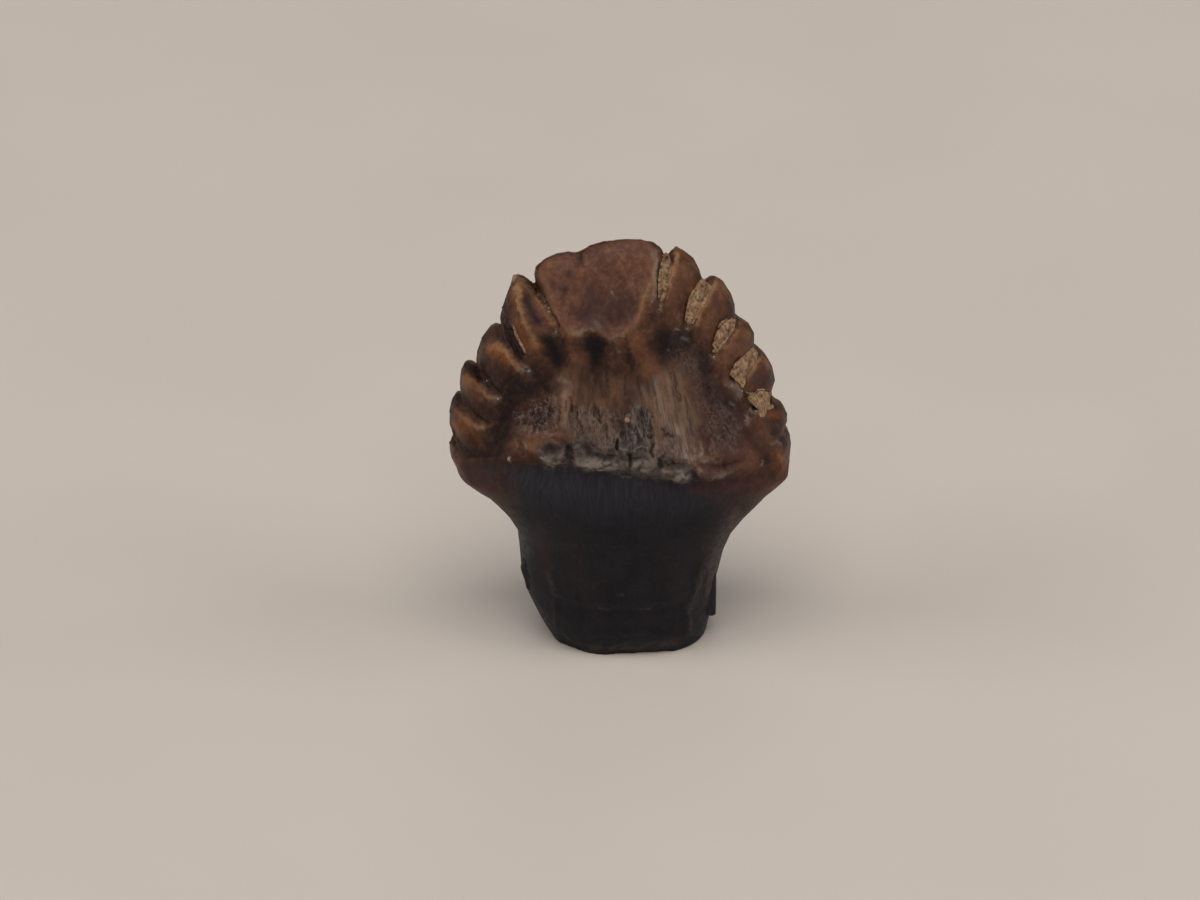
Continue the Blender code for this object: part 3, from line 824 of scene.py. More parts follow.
GREY = strokes("""
3 0.65 729,385 733,388 738,394
2.4 0.6 735,386 740,391 740,397
2.4 0.7 749,410 757,412
2.2 0.65 746,415 748,424
1.4 0.5 712,440 716,452
1.2 0.45 706,428 712,434 722,440
1.4 0.45 700,440 702,454
1.2 0.4 728,444 734,452
1.2 0.4 734,424 738,432
10 0.97 676,434 683,446 688,456
13 0.25 674,378 677,404 684,430
4 0.6 656,380 657,400 661,424
3 0.45 560,378 572,388
3 0.5 546,408 546,424
7 0.55 663,410 666,424 670,432
6 0.45 655,444 656,456
6 0.55 588,414 590,436
5 0.6 602,418 605,438
4 0.55 566,392 566,424
3 0.5 556,400 556,420
5 0.4 576,426 578,438
5 0.35 642,392 644,402
7 0.25 668,382 672,404
6 0.3 688,404 692,424
4 0.4 522,428 534,432
5 0.45 640,455 648,462
3 0.45 700,456 708,461
2.5 0.5 655,250 656,266 655,284 652,298
""")
ROOT_RED = strokes("""
14 0.24 572,548 584,588
10 0.4 538,530 548,570
9 0.3 708,540 712,600
13 0.18 668,560 680,588
10 0.8 760,484 776,476
12 0.7 716,486 748,486
9 0.7 462,474 476,486 492,496
7 0.45 502,478 512,490
8 0.4 664,482 700,486
3 0.35 590,648 640,648 676,643
""")
RED = strokes("""
9 0.75 515,455 526,455 536,456
3 0.4 668,464 687,466
9 0.55 700,486 722,484 745,480
12 0.6 755,482 768,476 780,474
10 0.45 462,476 478,482 494,490
6 0.35 497,472 508,474
2.4 0.35 536,280 539,288 546,300
7 0.4 600,262 612,272 622,280
8 0.35 684,282 681,300
7 0.4 713,302 708,320
6 0.4 746,332 742,344
6 0.4 766,370 760,380
8 0.4 760,424 752,432
5 0.35 554,442 568,438
8 0.35 480,404 488,412
""")
# Purple-brown stains, and painted shade in the ledge's pockets
PURPLE = strokes("""
14 0.35 716,396 724,420 732,440
10 0.35 704,442 730,452
6 0.45 782,442 784,452
5 0.45 752,378 762,384
4 0.4 733,300 735,312
5 0.35 727,336 722,344
4 0.4 770,372 773,384
8 0.35 470,468 486,480
8 0.45 704,468 724,468 744,464
9 0.45 592,296 606,306
10 0.4 578,312 600,322 622,318
8 0.4 734,412 746,436
7 0.4 452,400 456,414
6 0.35 466,368 474,374
5 0.4 785,436 786,444
5 0.7 526,299 532,312 537,322
5 0.5 496,333 504,338
7 0.6 549,448 557,450
6 0.55 569,452 573,463
6 0.45 576,450 602,448 611,448
4 0.45 666,465 680,465 690,467
6 0.4 666,452 664,460
9 0.5 585,314 592,304
8 0.45 615,306 630,312
6 0.4 554,283 560,288
5 0.5 569,272 571,276
5 0.45 564,290 565,295
6 0.4 620,292 630,298
4 0.35 655,244 660,256
5 0.35 588,252 600,250
4 0.4 690,256 696,262
5 0.35 483,340 481,352
4 0.35 454,398 452,408
5 0.35 546,449 556,452
5 0.35 784,408 786,418
6 0.3 725,404 735,410
""")

# The colour layers by the name that the mesh keeps each under; some hold painted highlights or painted shade
# beside the tooth's own colours
COLOURS = {
    "pale": PALE_AND_HIGHLIGHT, "tan": TAN_AND_CREST_LIGHT, "gold_highlight": GOLD_HIGHLIGHT, "warm": WARM, "dark": DARK_AND_SHADE, "red": RED, "purple": PURPLE,
    "shade": SHADE, "grey": GREY, "root_red": ROOT_RED,
}

# Areas of wear drawn in the picture plane: a softness in pixels and a closed outline
AREAS = {
    "streaks": (14.0, places("""
        548,366 575,358 612,366 650,372 690,352 704,380 706,420
        700,458 660,470 610,468 572,462 556,436 548,400
    """)),
    "worn": (8.0, places("""
        628,402 650,400 657,412 655,436 651,453 634,459 620,452 615,436 621,418
    """)),
    "frayed": (13.0, places("""
        566,402 600,402 628,410 652,418 674,424 694,432 694,464 660,464 600,464 572,458 558,436
    """)),
    "ledge_top": (7.0, places("""
        566,444 580,436 612,440 640,440 660,450 694,462 700,482
        684,486 650,480 600,475 572,472 540,470 532,456 540,446
    """)),
    "pits": (16.0, places("""
        510,412 526,400 548,388 562,392 562,430 545,442 520,440 508,430
    """)),
    "speckles": (14.0, places("""
        660,330 700,340 716,380 745,420 748,452 712,458 698,430 690,380 656,362
    """)),
}

# The worn facet's plate in the picture
PLATE = places("""
    540,262 560,254 600,246 640,240 660,250 658,268 650,284 640,318 625,334 606,338 590,328 572,336 556,316
""")

# Sediment that lies over the tooth's surface: how far it rises in millimetres, how free of pits it is, and
# its outline in the picture
CRUSTS = [
    (0.05, 0.95, places("""
        664,257 668,261 671,264 672,268 670,276 667.5,286
        665.5,296 662.5,302 660.5,301 659.3,292 659.3,280 660.6,267
        662.5,261
    """)),
    (0.07, 0.75, places("""
        701,282 707.5,282 712,287 708.5,297 702.7,307.5 697,317.4
        693,324 688,325 685.5,321 687,309.5 688,301.7
        691.4,295.8 697,288
    """)),
    (0.09, 1.40, places("""
        721.4,321.3 726.3,319 732,317.8 736.2,319.8 735,325 734,330 729,337 724.3,345 719.4,351.7 714.5,353.6
        712.5,350.7 715.5,344.8 716.5,337 717.5,329 718.4,324.2
    """)),
    (0.09, 1.00, places("""
        748,350.7 752.7,347 756.7,350 758,353.6 756.5,360.5 752.7,366.4
        749.8,370.3 746.9,375 744,381 744,388 741,388
        740,382 738,379 731.2,374 731.2,370.3 734,365.4 738,362.5 744,360.5 747,356.6
    """)),
    (0.12, 1.00, places("""
        745,391.5 749.8,392.8 754.7,392 757.6,389 763.5,388.5
        766.5,391 768,395 768.6,400 770.6,403.6 774,405.6
        773.4,408.5 769.6,409.7 766.8,411.5 761.6,413.4 758.2,415.8
        757.6,412.5 759.6,407.5 761.2,404 757.6,401.7
        753.7,398.7 749.8,395.8
    """)),
    (0.06, 1.40, places("""
        511.8,323.5 514,325.5 516.4,331 519,337.5 522.6,344.5
        526.8,353.5 524.6,353 520.2,346 516.2,338.5 513.6,331.5
    """)),
]

# Thin slabs that split off the root: y of the front, reach to the back, and the outline in the picture
SLABS = [
    (-1.05, 1.6, places("""
        709,558 714,561 716.6,567 716.8,580 716.6,600 716.2,618.5
        712.5,620.5 707.8,619.5 703,612 699,600 698,580
        702,564
    """)),
]

# Grains of sand that stick to the front: place in the picture, radius in millimetres and kind
LOOSE_GRAINS = [
    (627, 420, 0.10, "orange"), (509, 459, 0.075, "pale"), (549, 308, 0.05, "pale"), (549, 312, 0.04, "pale"),
    (487, 381, 0.035, "pale"), (556, 332, 0.035, "pale"), (545, 302, 0.025, "pale"), (612, 292, 0.02, "pale"),
    (652, 302, 0.025, "pale"), (756, 411, 0.04, "pale"), (745, 421, 0.03, "pale"), (687, 329, 0.025, "pale"),
    (678, 330, 0.022, "pale"), (714, 357, 0.035, "pale"), (661, 306, 0.03, "pale"), (741, 428, 0.02, "orange"),
    (762, 464, 0.025, "pale"), (716, 352, 0.035, "pale"), (498, 399, 0.04, "pale"), (529, 371, 0.035, "pale"),
    (663, 256, 0.035, "pale"), (742, 391, 0.04, "pale"),
]


def rim_y(z):
    """The middle of the crown's rim: upright over the root, leaning back above it."""
    share = (np.asarray(z, float) - LEAN_START) / (TOOTH_HEIGHT - LEAN_START)
    return LEAN * np.clip(share, 0, None)


def polyline_distance(points, line):
    """For each point: its distance from the line, its side of it, and how far along its nearest place is."""
    nearest = np.full(len(points), np.inf)
    side = np.zeros(len(points))
    along = np.zeros(len(points))
    stretches = list(zip(np.array(line[:-1], float), np.array(line[1:], float)))
    for i, (start, end) in enumerate(stretches):
        step = end - start
        share = np.clip((points - start) @ step / max(step @ step, 1e-9), 0, 1)
        offset = points - start - share[:, None] * step
        distance = np.hypot(offset[:, 0], offset[:, 1])
        closer = distance < nearest
        nearest[closer] = distance[closer]
        side[closer] = (step[0] * offset[:, 1] - step[1] * offset[:, 0])[closer]
        along[closer] = ((i + share) / len(stretches))[closer]
    return nearest, np.sign(side), along


def inside(points, outline):
    """Which points lie inside a closed outline."""
    crossings = np.zeros(len(points), int)
    for (x0, z0), (x1, z1) in zip(outline, outline[1:] + outline[:1]):
        if z0 != z1:
            spans = (points[:, 1] < max(z0, z1)) & (points[:, 1] >= min(z0, z1))
            crossings += spans & (points[:, 0] < x0 + (points[:, 1] - z0) * (x1 - x0) / (z1 - z0))
    return crossings % 2 == 1


def crown_depth(points, is_front):
    """Smooth distance from the rim's middle to the crown's front or back, before its grooves."""
    x, z = points.T
    heights = [level.z for level in CROWN_LEVELS]
    left, right, front, back, power = (
        np.interp(z, heights, [level[k] for level in CROWN_LEVELS]) for k in range(1, 6)
    )
    reach = np.clip(x / np.where(x > 0, right, left), 0, 1)
    middle = rim_y(z)
    return (middle - front if is_front else back - middle) * (1 - reach**power) ** (1 / power)


def rim_rounding(points):
    """The share of its depth that the crown has near its rim."""
    rim, _, _ = polyline_distance(points, CROWN_OUTLINE[3:-3])
    return np.sqrt(1 - (1 - np.clip(rim / RIM_RADIUS, 0, 1)) ** 2)


def plug_face(points, is_front):
    """The y of a plug's front or back, sunk under the denticles beside it."""
    depth = np.maximum(crown_depth(points, is_front) * rim_rounding(points) - PLUG_RECESS, PLUG_THIN)
    return rim_y(points[:, 1]) + (-depth if is_front else depth)


def ledge_height(points, ledge):
    """How much the ledge adds to the crown: a lip at its lower edge, falling to a trough above it."""
    x, z, stands_out = np.array(ledge).T
    above = points[:, 1] - np.interp(points[:, 0], x, z)
    lip = np.clip(above / LEDGE_LIP, 0, 1) ** LIP_POWER
    fall = np.clip((above - LEDGE_LIP) / LEDGE_HEIGHT, 0, 2)
    wave = np.where(fall < 1, 0.5 + 0.5 * np.cos(pi * fall), 0)
    dip = np.where(fall > 0, np.sin(pi * fall / 2) ** 2, 0)
    return np.interp(points[:, 0], x, stands_out) * (lip * wave - LEDGE_TROUGH * dip)


def crown_face(points, is_front):
    """The y of the crown's front or back, with its ledge, grooves, facet and rounded rim."""
    depth = crown_depth(points, is_front)
    full = depth.copy()
    depth += ledge_height(points, FRONT_LEDGE if is_front else BACK_LEDGE)
    if is_front:
        edge, _, _ = polyline_distance(points, FACET_EDGE + FACET_EDGE[:1])
        depth -= FACET_DEPTH * np.clip(edge / FACET_SOFTNESS, 0, 1) * inside(points, FACET_EDGE)
    for groove in GROOVES:
        distance, side, along = polyline_distance(points, groove.line)
        apex_is = 1 if groove.line[0][0] < 0 else -1
        width = np.where(side == apex_is, groove.apex_side, groove.outer_side)
        hollow = np.clip(1 - distance / width, 0, 1) ** GROOVE_POWER
        share = 1 if is_front else BACK_GROOVE_SHARE
        depth -= share * groove.depth * hollow * (1 - along**2)
    depth = np.maximum(depth, GROOVE_LEAVES * full) * rim_rounding(points)
    return rim_y(points[:, 1]) + (-depth if is_front else depth)


def sheet_of(outline, spacing):
    """Points and triangles that fill an outline evenly."""
    low, high = np.min(outline, axis=0), np.max(outline, axis=0)
    rows = ceil((high[1] - low[1]) / (spacing * ROW_PITCH))
    columns = ceil((high[0] - low[0]) / spacing)
    grid = [
        (low[0] + (column + 0.5 * (row % 2)) * spacing, low[1] + row * spacing * ROW_PITCH)
        for row in range(rows + 1)
        for column in range(columns + 1)
    ]
    grid = np.array(grid)
    edge, _, _ = polyline_distance(grid, outline + outline[:1])
    grid = grid[inside(grid, outline) & (edge > spacing * RIM_CLEARANCE)]
    rim = []
    for start, end in zip(outline, outline[1:] + outline[:1]):
        pieces = ceil(np.hypot(end[0] - start[0], end[1] - start[1]) / spacing)
        rim += [Vector(start).lerp(Vector(end), i / pieces) for i in range(pieces)]
    edges = [(i, (i + 1) % len(rim)) for i in range(len(rim))]
    points = rim + [Vector(point) for point in grid]
    points, _, faces, *_ = geometry.delaunay_2d_cdt(points, edges, [], 1, 1e-5)
    return np.array(points), faces


def close_sheets(bm, front, back, faces):
    """Joins two sheets of points by the same faces, turned opposite ways, and a strip between their rims."""
    front, back = ([bm.verts.new(point) for point in side] for side in (front, back))
    sides = {}
    for face in faces:
        bm.faces.new([front[i] for i in face])
        bm.faces.new([back[i] for i in reversed(face)])
        sides.update(dict.fromkeys(zip(face, face[1:] + face[:1])))
    for a, b in sides:
        if (b, a) not in sides:
            bm.faces.new((front[b], front[a], back[a], back[b]))


def add_sheet_solid(bm, outline, spacing, face_of):
    """A closed solid over an outline, between the front and the back that face_of gives."""
    points, faces = sheet_of(outline, spacing)
    front, back = (
        [(x, y, z) for (x, z), y in zip(points, face_of(points, is_front))] for is_front in (True, False)
    )
    close_sheets(bm, front, back, faces)


def add_loft(bm, rings):
    """Skins a row of rings with the same number of points, and closes both ends."""
    rows = [[bm.verts.new(point) for point in ring] for ring in rings]
    for lower, upper in zip(rows, rows[1:]):
        for i in range(len(lower)):
            j = (i + 1) % len(lower)
            bm.faces.new((lower[i], lower[j], upper[j], upper[i]))
    bm.faces.new(reversed(rows[0]))
    bm.faces.new(rows[-1])


def power_curve(value, power):
    """The sine or cosine of a turn, bent to a superellipse of that power."""
    return (1 if value >= 0 else -1) * abs(value) ** (2 / power)


def add_root(bm):
    """The root, one level ring above another."""
    rings = []
    for level in ROOT_LEVELS:
        ring = []
        for i in range(RING_POINTS):
            turn = 2 * pi * i / RING_POINTS
            along = power_curve(cos(turn), level.power)
            across = power_curve(sin(turn), level.power)
            x = along * (level.right if along > 0 else -level.left)
            y = across * (level.back if across > 0 else -level.front)
            ring.append((x, y, level.z))
        rings.append(ring)
    add_loft(bm, rings)


def new_object(name, bm):
    """A scene object that holds bm's mesh, with its faces pointing out."""
    bmesh.ops.recalc_face_normals(bm, faces=bm.faces)
    mesh = bpy.data.meshes.new(name)
    bm.to_mesh(mesh)
    bm.free()
    obj = bpy.data.objects.new(name, mesh)
    bpy.context.scene.collection.objects.link(obj)
    return obj


def bake_modifiers(obj):
    """Replaces the object's mesh by the mesh that its modifiers make."""
    graph = bpy.context.evaluated_depsgraph_get()
    baked = bpy.data.meshes.new_from_object(obj.evaluated_get(graph))
    obj.modifiers.clear()
    obj.data = baked


def grown(outline, amount):
    """The outline with each corner moved outward."""
    centre = np.mean(outline, axis=0)
    result = []
    for i, point in enumerate(outline):
        before, after = np.array(outline[i - 1]), np.array(outline[(i + 1) % len(outline)])
        tangent = (after - before) / np.linalg.norm(after - before)
        outward = np.array((-tangent[1], tangent[0]))
        outward *= np.sign(outward @ (np.array(point) - centre)) or 1
        result.append(tuple(np.array(point) + outward * amount))
    return result


def cut_slot(crown, outline):
    """Cuts the slot that a plug sits in right through the crown, and drops the cutter."""
    bm = bmesh.new()
    add_loft(bm, [[(x, y, z) for x, z in outline] for y in SLOT_REACH])
    cutter = new_object("slot_cutter", bm)
    slot = crown.modifiers.new("slot", "BOOLEAN")
    slot.operation = "DIFFERENCE"
    slot.solver = "MANIFOLD"
    slot.object = cutter
    bake_modifiers(crown)
    bpy.data.objects.remove(cutter)


def coordinates(mesh):
    """The mesh's points as an array."""
    values = np.empty(len(mesh.vertices) * 3)
    mesh.vertices.foreach_get("co", values)
    return values.reshape(-1, 3)


def point_normals(mesh):
    """The mesh's point normals as an array."""
    values = np.empty(len(mesh.vertices) * 3)
    mesh.vertices.foreach_get("normal", values)
    return values.reshape(-1, 3)


def set_coordinates(mesh, values):
    """Moves the mesh's points."""
    mesh.vertices.foreach_set("co", np.asarray(values).ravel())
    mesh.update()


def noise_at(points, size, shift=0.0):
    """Smooth noise from -1 to 1, at that size along x, y and z."""
    scaled = points / np.asarray(size, float) + shift
    return np.array([noise.noise(Vector(point)) for point in scaled])


def swell(points, field, number=0):
    """The height of a noise field at each point."""
    return field.height * noise_at(points, field.size, field.shift + number)


def hollows(points, field, gain, threshold=0.0, number=0):
    """Patches that rise from 0 to 1 where a noise field passes a threshold."""
    return np.clip(noise_at(points, field.size, field.shift + number) * gain - threshold, 0, 1)


def to_picture(points):
    """Where points fall in the picture plane, in pixels."""
    offset = points - EYE
    away = offset @ VIEW
    focal = PICTURE_SCALE * PICTURE_DISTANCE
    x = PICTURE[0] / 2 + focal * offset[:, 0] / away
    y = PICTURE[1] / 2 - focal * (offset @ VIEW_UP) / away
    return np.stack([x, y], axis=1)


def picture_ray(x, y):
    """The eye and the direction from it through a pixel."""
    focal = PICTURE_SCALE * PICTURE_DISTANCE
    along = VIEW * focal + np.array([x - PICTURE[0] / 2, 0, 0]) + VIEW_UP * (PICTURE[1] / 2 - y)
    return Vector(EYE), Vector(along).normalized()


def smooth_step(values, low, high):
    """0 below low, 1 above high, and an easy curve between."""
    share = np.clip((values - low) / (high - low), 0, 1)
    return share * share * (3 - 2 * share)


def band(values, begin, full, fade, end):
    """1 from full to fade, and 0 before begin and after end."""
    return smooth_step(values, begin, full) * (1 - smooth_step(values, fade, end))


def middle_of(x, centre, half, fade):
    """1 round a centre, fading out toward a half width from it."""
    return smooth_step(half - np.abs(x - centre), 0.0, fade)


def stroke(picture, line, half_width):
    """A soft stroke along a line: 1 on it, fading out over its half width."""
    low, high = np.min(line, axis=0), np.max(line, axis=0)
    reach = half_width * STROKE_REACH
    near = np.all((picture > low - reach) & (picture < high + reach), axis=1)
    result = np.zeros(len(picture))
    if near.any():
        distance, _, _ = polyline_distance(picture[near], line)
        result[near] = np.exp(-((distance / half_width) ** 2))
    return result


def layer(picture, marks):
    """Strokes laid over one another, each hiding a share of what is below."""
    clear = np.ones(len(picture))
    for half_width, strength, line in marks:
        clear *= 1 - strength * stroke(picture, line, half_width)
    return 1 - clear


def area(picture, softness, outline):
    """1 well inside an outline, 0 outside it."""
    distance, _, _ = polyline_distance(picture, outline + outline[:1])
    return np.where(inside(picture, outline), smooth_step(distance, 0, softness), 0)


def store(mesh, name, values):
    """Keeps one number for each point, for the material to read."""
    attribute = mesh.attributes.new(name, "FLOAT", "POINT")
    attribute.data.foreach_set("value", np.asarray(values, np.float32))


def ledge_line(points):
    """The height of the ledge's lower edge beside each point."""
    x, y, z = points.T
    front = np.interp(x, *np.array([(a, b) for a, b, _ in FRONT_LEDGE]).T)
    back = np.interp(x, *np.array([(a, b) for a, b, _ in BACK_LEDGE]).T)
    return np.where(y < rim_y(z), front, back)


def tree_of(mesh):
    """A search tree over the mesh's faces."""
    return bvhtree.BVHTree.FromPolygons(
        [vert.co for vert in mesh.vertices], [tuple(face.vertices) for face in mesh.polygons]
    )


def base_tooth():
    """Crown and root fused in one skin, finer over the crown's front."""
    bm = bmesh.new()
    add_sheet_solid(bm, CROWN_OUTLINE, CROWN_GRID, crown_face)
    crown = new_object("crown", bm)
    for outline in PLUGS[:-1] + [OPEN_SLOT]:
        cut_slot(crown, outline)
    bm = bmesh.new()
    bm.from_mesh(crown.data)
    sharp = tree_of(crown.data)
    bpy.data.objects.remove(crown)
    add_root(bm)
    tooth = new_object("fossil_tooth", bm)
    remesh = tooth.modifiers.new("fuse", "REMESH")
    remesh.mode = "VOXEL"
    remesh.voxel_size = VOXEL
    smooth = tooth.modifiers.new("smooth", "SMOOTH")
    smooth.factor = SMOOTHING_STRENGTH
    smooth.iterations = SMOOTHING
    bake_modifiers(tooth)
    bm = bmesh.new()
    bm.from_mesh(tooth.data)
    bm.normal_update()
    fine = []
    for face in bm.faces:
        x, y, z = face.calc_center_median()
        if face.normal.y < FINE_FACING and z > FINE_FROM and y < rim_y(z):
            fine.append(face)
    edges = list({edge for face in fine for edge in face.edges})
    bmesh.ops.subdivide_edges(bm, edges=edges, cuts=1, use_grid_fill=True)
    bmesh.ops.triangulate(bm, faces=bm.faces)
    bm.to_mesh(tooth.data)
    bm.free()
    smooth = tooth.modifiers.new("even", "SMOOTH")
    smooth.factor = SMOOTHING_STRENGTH
    smooth.iterations = FINE_SMOOTHING
    bake_modifiers(tooth)
    points = coordinates(tooth.data)
    share = smooth_step(points[:, 2] - ledge_line(points), *SHARP_FROM)
    for i in np.flatnonzero(share > 0):
        place, _, _, away = sharp.find_nearest(Vector(points[i]))
        if away < SHARPEN_REACH:
            points[i] += share[i] * (np.array(place) - points[i])
    set_coordinates(tooth.data, points)
    return tooth


def cut_breaks(points):
    """Takes off what lies past the flat breaks round the root's end, and leaves them rough."""
    for place, outward in BREAKS:
        outward = np.array(outward) / np.linalg.norm(outward)
        rough = swell(points, BREAK_SWELL) + swell(points, BREAK_GRAIN)
        beyond = (points - np.array(place)) @ outward
        points = points - np.clip(beyond - rough, 0, None)[:, None] * outward
    points[:, 2] = np.maximum(points[:, 2], 0)
    return points


def front_height(points, areas, ribs, fray):
    """How much each area of wear raises or lowers the front."""
    height = areas["streaks"] * (FIBRE_HEIGHTS[0] * ribs[0] + FIBRE_HEIGHTS[1] * ribs[1])
    height += areas["worn"] * (FRAY_HEIGHT * fray - WORN_DEPTH) + areas["frayed"] * FRAY_HEIGHT * fray
    height += areas["ledge_top"] * (swell(points, LEDGE_LUMP) + swell(points, LEDGE_GRAIN))
    height -= areas["pits"] * PIT_DEPTH * hollows(points, PIT, PIT_GAIN, PIT_THRESHOLD)
    height += areas["pits"] * swell(points, PIT_SWELL)
    height -= areas["speckles"] * SPECKLE_DEPTH * hollows(points, SPECKLE, PIT_GAIN)
    return height


def back_wear(points, back, wander):
    """The back's streaks, frayed patch and cracks, each from 0 to 1."""
    x, _, z = points.T
    middle = back * middle_of(x, *BACK_MIDDLE)
    streaked = smooth_step(swell(points, BACK_STREAK_PATCH), *BACK_STREAK_EDGE)
    streaks = middle * band(z, *BACK_STREAK_BAND) * streaked
    frayed = middle * band(z, *BACK_FRAY_BAND) * smooth_step(swell(points, BACK_FRAY_PATCH), *BACK_FRAY_EDGE)
    cracks = np.abs(swell(points + CRACK_STRAY * wander[:, :1], BACK_CRACK))
    cracks = back * (1 - smooth_step(cracks, 0.0, CRACK_WIDTH)) * smooth_step(z, *CRACK_FROM)
    return streaks, frayed, cracks


def root_share(points, front, flat, picture):
    """How far each point has turned to the root's black: sharply under the ledge, softly at the flanks."""
    x, _, z = points.T
    middle = middle_of(x, *ROOT_MIDDLE)
    edge = np.interp(picture[:, 0], *np.array(ROOT_EDGE).T)
    below = front * (flat[:, 1] - edge) / PICTURE_SCALE + (1 - front) * (ledge_line(points) + BACK_RISE - z)
    below = below + ROOT_RISE + (BACK_WAVER - FRONT_CALM * front) * swell(points, ROOT_WAVER)
    sharp = smooth_step(below, *ROOT_SHARP) * (FLANK_SHARP + (1 - FLANK_SHARP) * middle)
    return np.maximum(sharp, smooth_step(below, *ROOT_SOFT))


def shape_tooth(tooth):
    """Swells, breaks, wear, crests and cracks, from large to small, and the numbers that the enamel reads."""
    mesh = tooth.data
    points = coordinates(mesh)
    points += point_normals(mesh) * noise_at(points, LUMP_SIZE)[:, None] * LUMP_DEPTH
    points = cut_breaks(points)
    set_coordinates(mesh, points)

    normals = point_normals(mesh)
    front = smooth_step(-(normals @ VIEW), *FRONT_TURN)
    back = smooth_step(normals[:, 1], *BACK_TURN)
    flat = to_picture(points)
    wander, fine_wander = (
        np.stack([swell(points, field) for field in pair], axis=1) for pair in (WANDER, FINE_WANDER)
    )
    picture, ragged = (
        flat + wander * coarse + fine_wander * fine for coarse, fine in (MARK_STRAY, AREA_STRAY)
    )
    areas = {name: area(ragged, *shape) * front for name, shape in AREAS.items()}
    fanned = points.copy()
    fanned[:, 0] = (points[:, 0] - FAN_X) * (FAN_TOP - FAN_LEVEL) / (FAN_TOP - points[:, 2])
    ribs = swell(fanned, FIBRE), swell(fanned, COARSE_FIBRE)
    fray = swell(fanned + FRAY_STRAY * wander[:, :1], FRAY)
    streaks, frayed, cracks = back_wear(points, back, wander)

    height = front_height(points, areas, ribs, fray)
    height += streaks * (BACK_FIBRE_HEIGHTS[0] * ribs[0] + BACK_FIBRE_HEIGHTS[1] * ribs[1])
    height += frayed * BACK_FRAY_HEIGHT * fray - CRACK_DEPTH * cracks
    height += swell(points, WAVE) + swell(points, RIPPLE)
    for half_width, amount, line in RELIEF:
        height += amount * stroke(picture, line, half_width) * front
    points = points + normals * height[:, None]
    points[:, 2] = np.maximum(points[:, 2], 0)
    set_coordinates(mesh, points)

    x, _, z = points.T
    areas["streaks"] = np.maximum(areas["streaks"], streaks)
    areas["frayed"] = np.maximum(areas["frayed"], frayed)
    for name, values in areas.items():
        store(mesh, name, values)
    for name, marks in COLOURS.items():
        store(mesh, name, layer(picture, marks) * front)
    store(mesh, "root", root_share(points, front, flat, picture))
    store(mesh, "root_top", smooth_step(z, *ROOT_TOP))
    store(mesh, "facet", inside(picture, PLATE) * front)
    # Painted shade in the sunk parts of the relief, darker for deeper hollows
    store(mesh, "hollow", np.clip(-height / HOLLOW_SHADE_DEPTH, 0, 1))
    # Painted shade: a thin dark line along the crown's outline, above the ledge
    rim, _, _ = polyline_distance(points[:, [0, 2]], CROWN_OUTLINE[3:-3])
    store(mesh, "rim", (1 - smooth_step(rim, 0.0, RIM_SHADE_WIDTH)) * (z > RIM_SHADE_FROM))
    half = np.interp(z, [level.z for level in ROOT_LEVELS], [level.right for level in ROOT_LEVELS])
    store(mesh, "flare", FLARE_WIDTH * x / half - x)
    store(mesh, "fan", fanned[:, 0] - x)
    blots = smooth_step(swell(points, BACK_BLOT), *BLOT_EDGE) * smooth_step(z, *BLOT_FROM)
    store(mesh, "back_blots", back * np.maximum(BLOT_SHARE * blots, CRACK_SHARE * cracks))
    mesh.shade_smooth()


def build_plug(number, outline):
    """A sediment plug with a grainy, pitted face that closes its slot."""
    bm = bmesh.new()
    add_sheet_solid(bm, grown(outline, PLUG_OVERLAP), PLUG_GRID, plug_face)
    plug = new_object(f"sediment_plug_{number}", bm)
    mesh = plug.data
    points, normals = coordinates(mesh), point_normals(mesh)
    facing = np.clip(np.abs(normals[:, 1]) * PLUG_FACING_GAIN - PLUG_FACING_FROM, 0, 1)
    shaded_pits = hollows(points, PLUG_PIT, SEDIMENT_PIT_GAIN, PLUG_SOUNDNESS, number)
    height = swell(points, PLUG_GRAIN, number) + swell(points, PLUG_SWELL, number) - PLUG_PIT.height * shaded_pits
    points = points + normals * (height * facing)[:, None]
    set_coordinates(mesh, points)
    # The pits, kept for their painted shade
    store(mesh, "shaded_pits", shaded_pits * facing)
    mesh.shade_smooth()
    return plug


def add_grain(bm, place, radius, seed):
    """One sand grain, a lumpy ball."""
    made = bmesh.ops.create_icosphere(bm, subdivisions=2, radius=radius)
    stretch = Vector([random.uniform(*span) for span in GRAIN_STRETCH])
    for vert in made["verts"]:
        lump = 1 + GRAIN_LUMP * noise.noise(vert.co / radius * GRAIN_LUMP_PITCH + Vector((seed, 0, 0)))
        vert.co = Vector(vert.co * lump) * stretch + place


def cast(tree, x, y):
    """Where the picture's ray through a pixel meets the tooth, or passes nearest its rim."""
    eye, along = picture_ray(x, y)
    place, _, _, away = tree.ray_cast(eye, along)
    if place is None:
        middle = 0.0
        for _ in range(RIM_ROUNDS):
            place = eye + along * ((middle - eye.y) / along.y)
            middle = float(rim_y(place.z))
    return np.array(place), np.array(along)


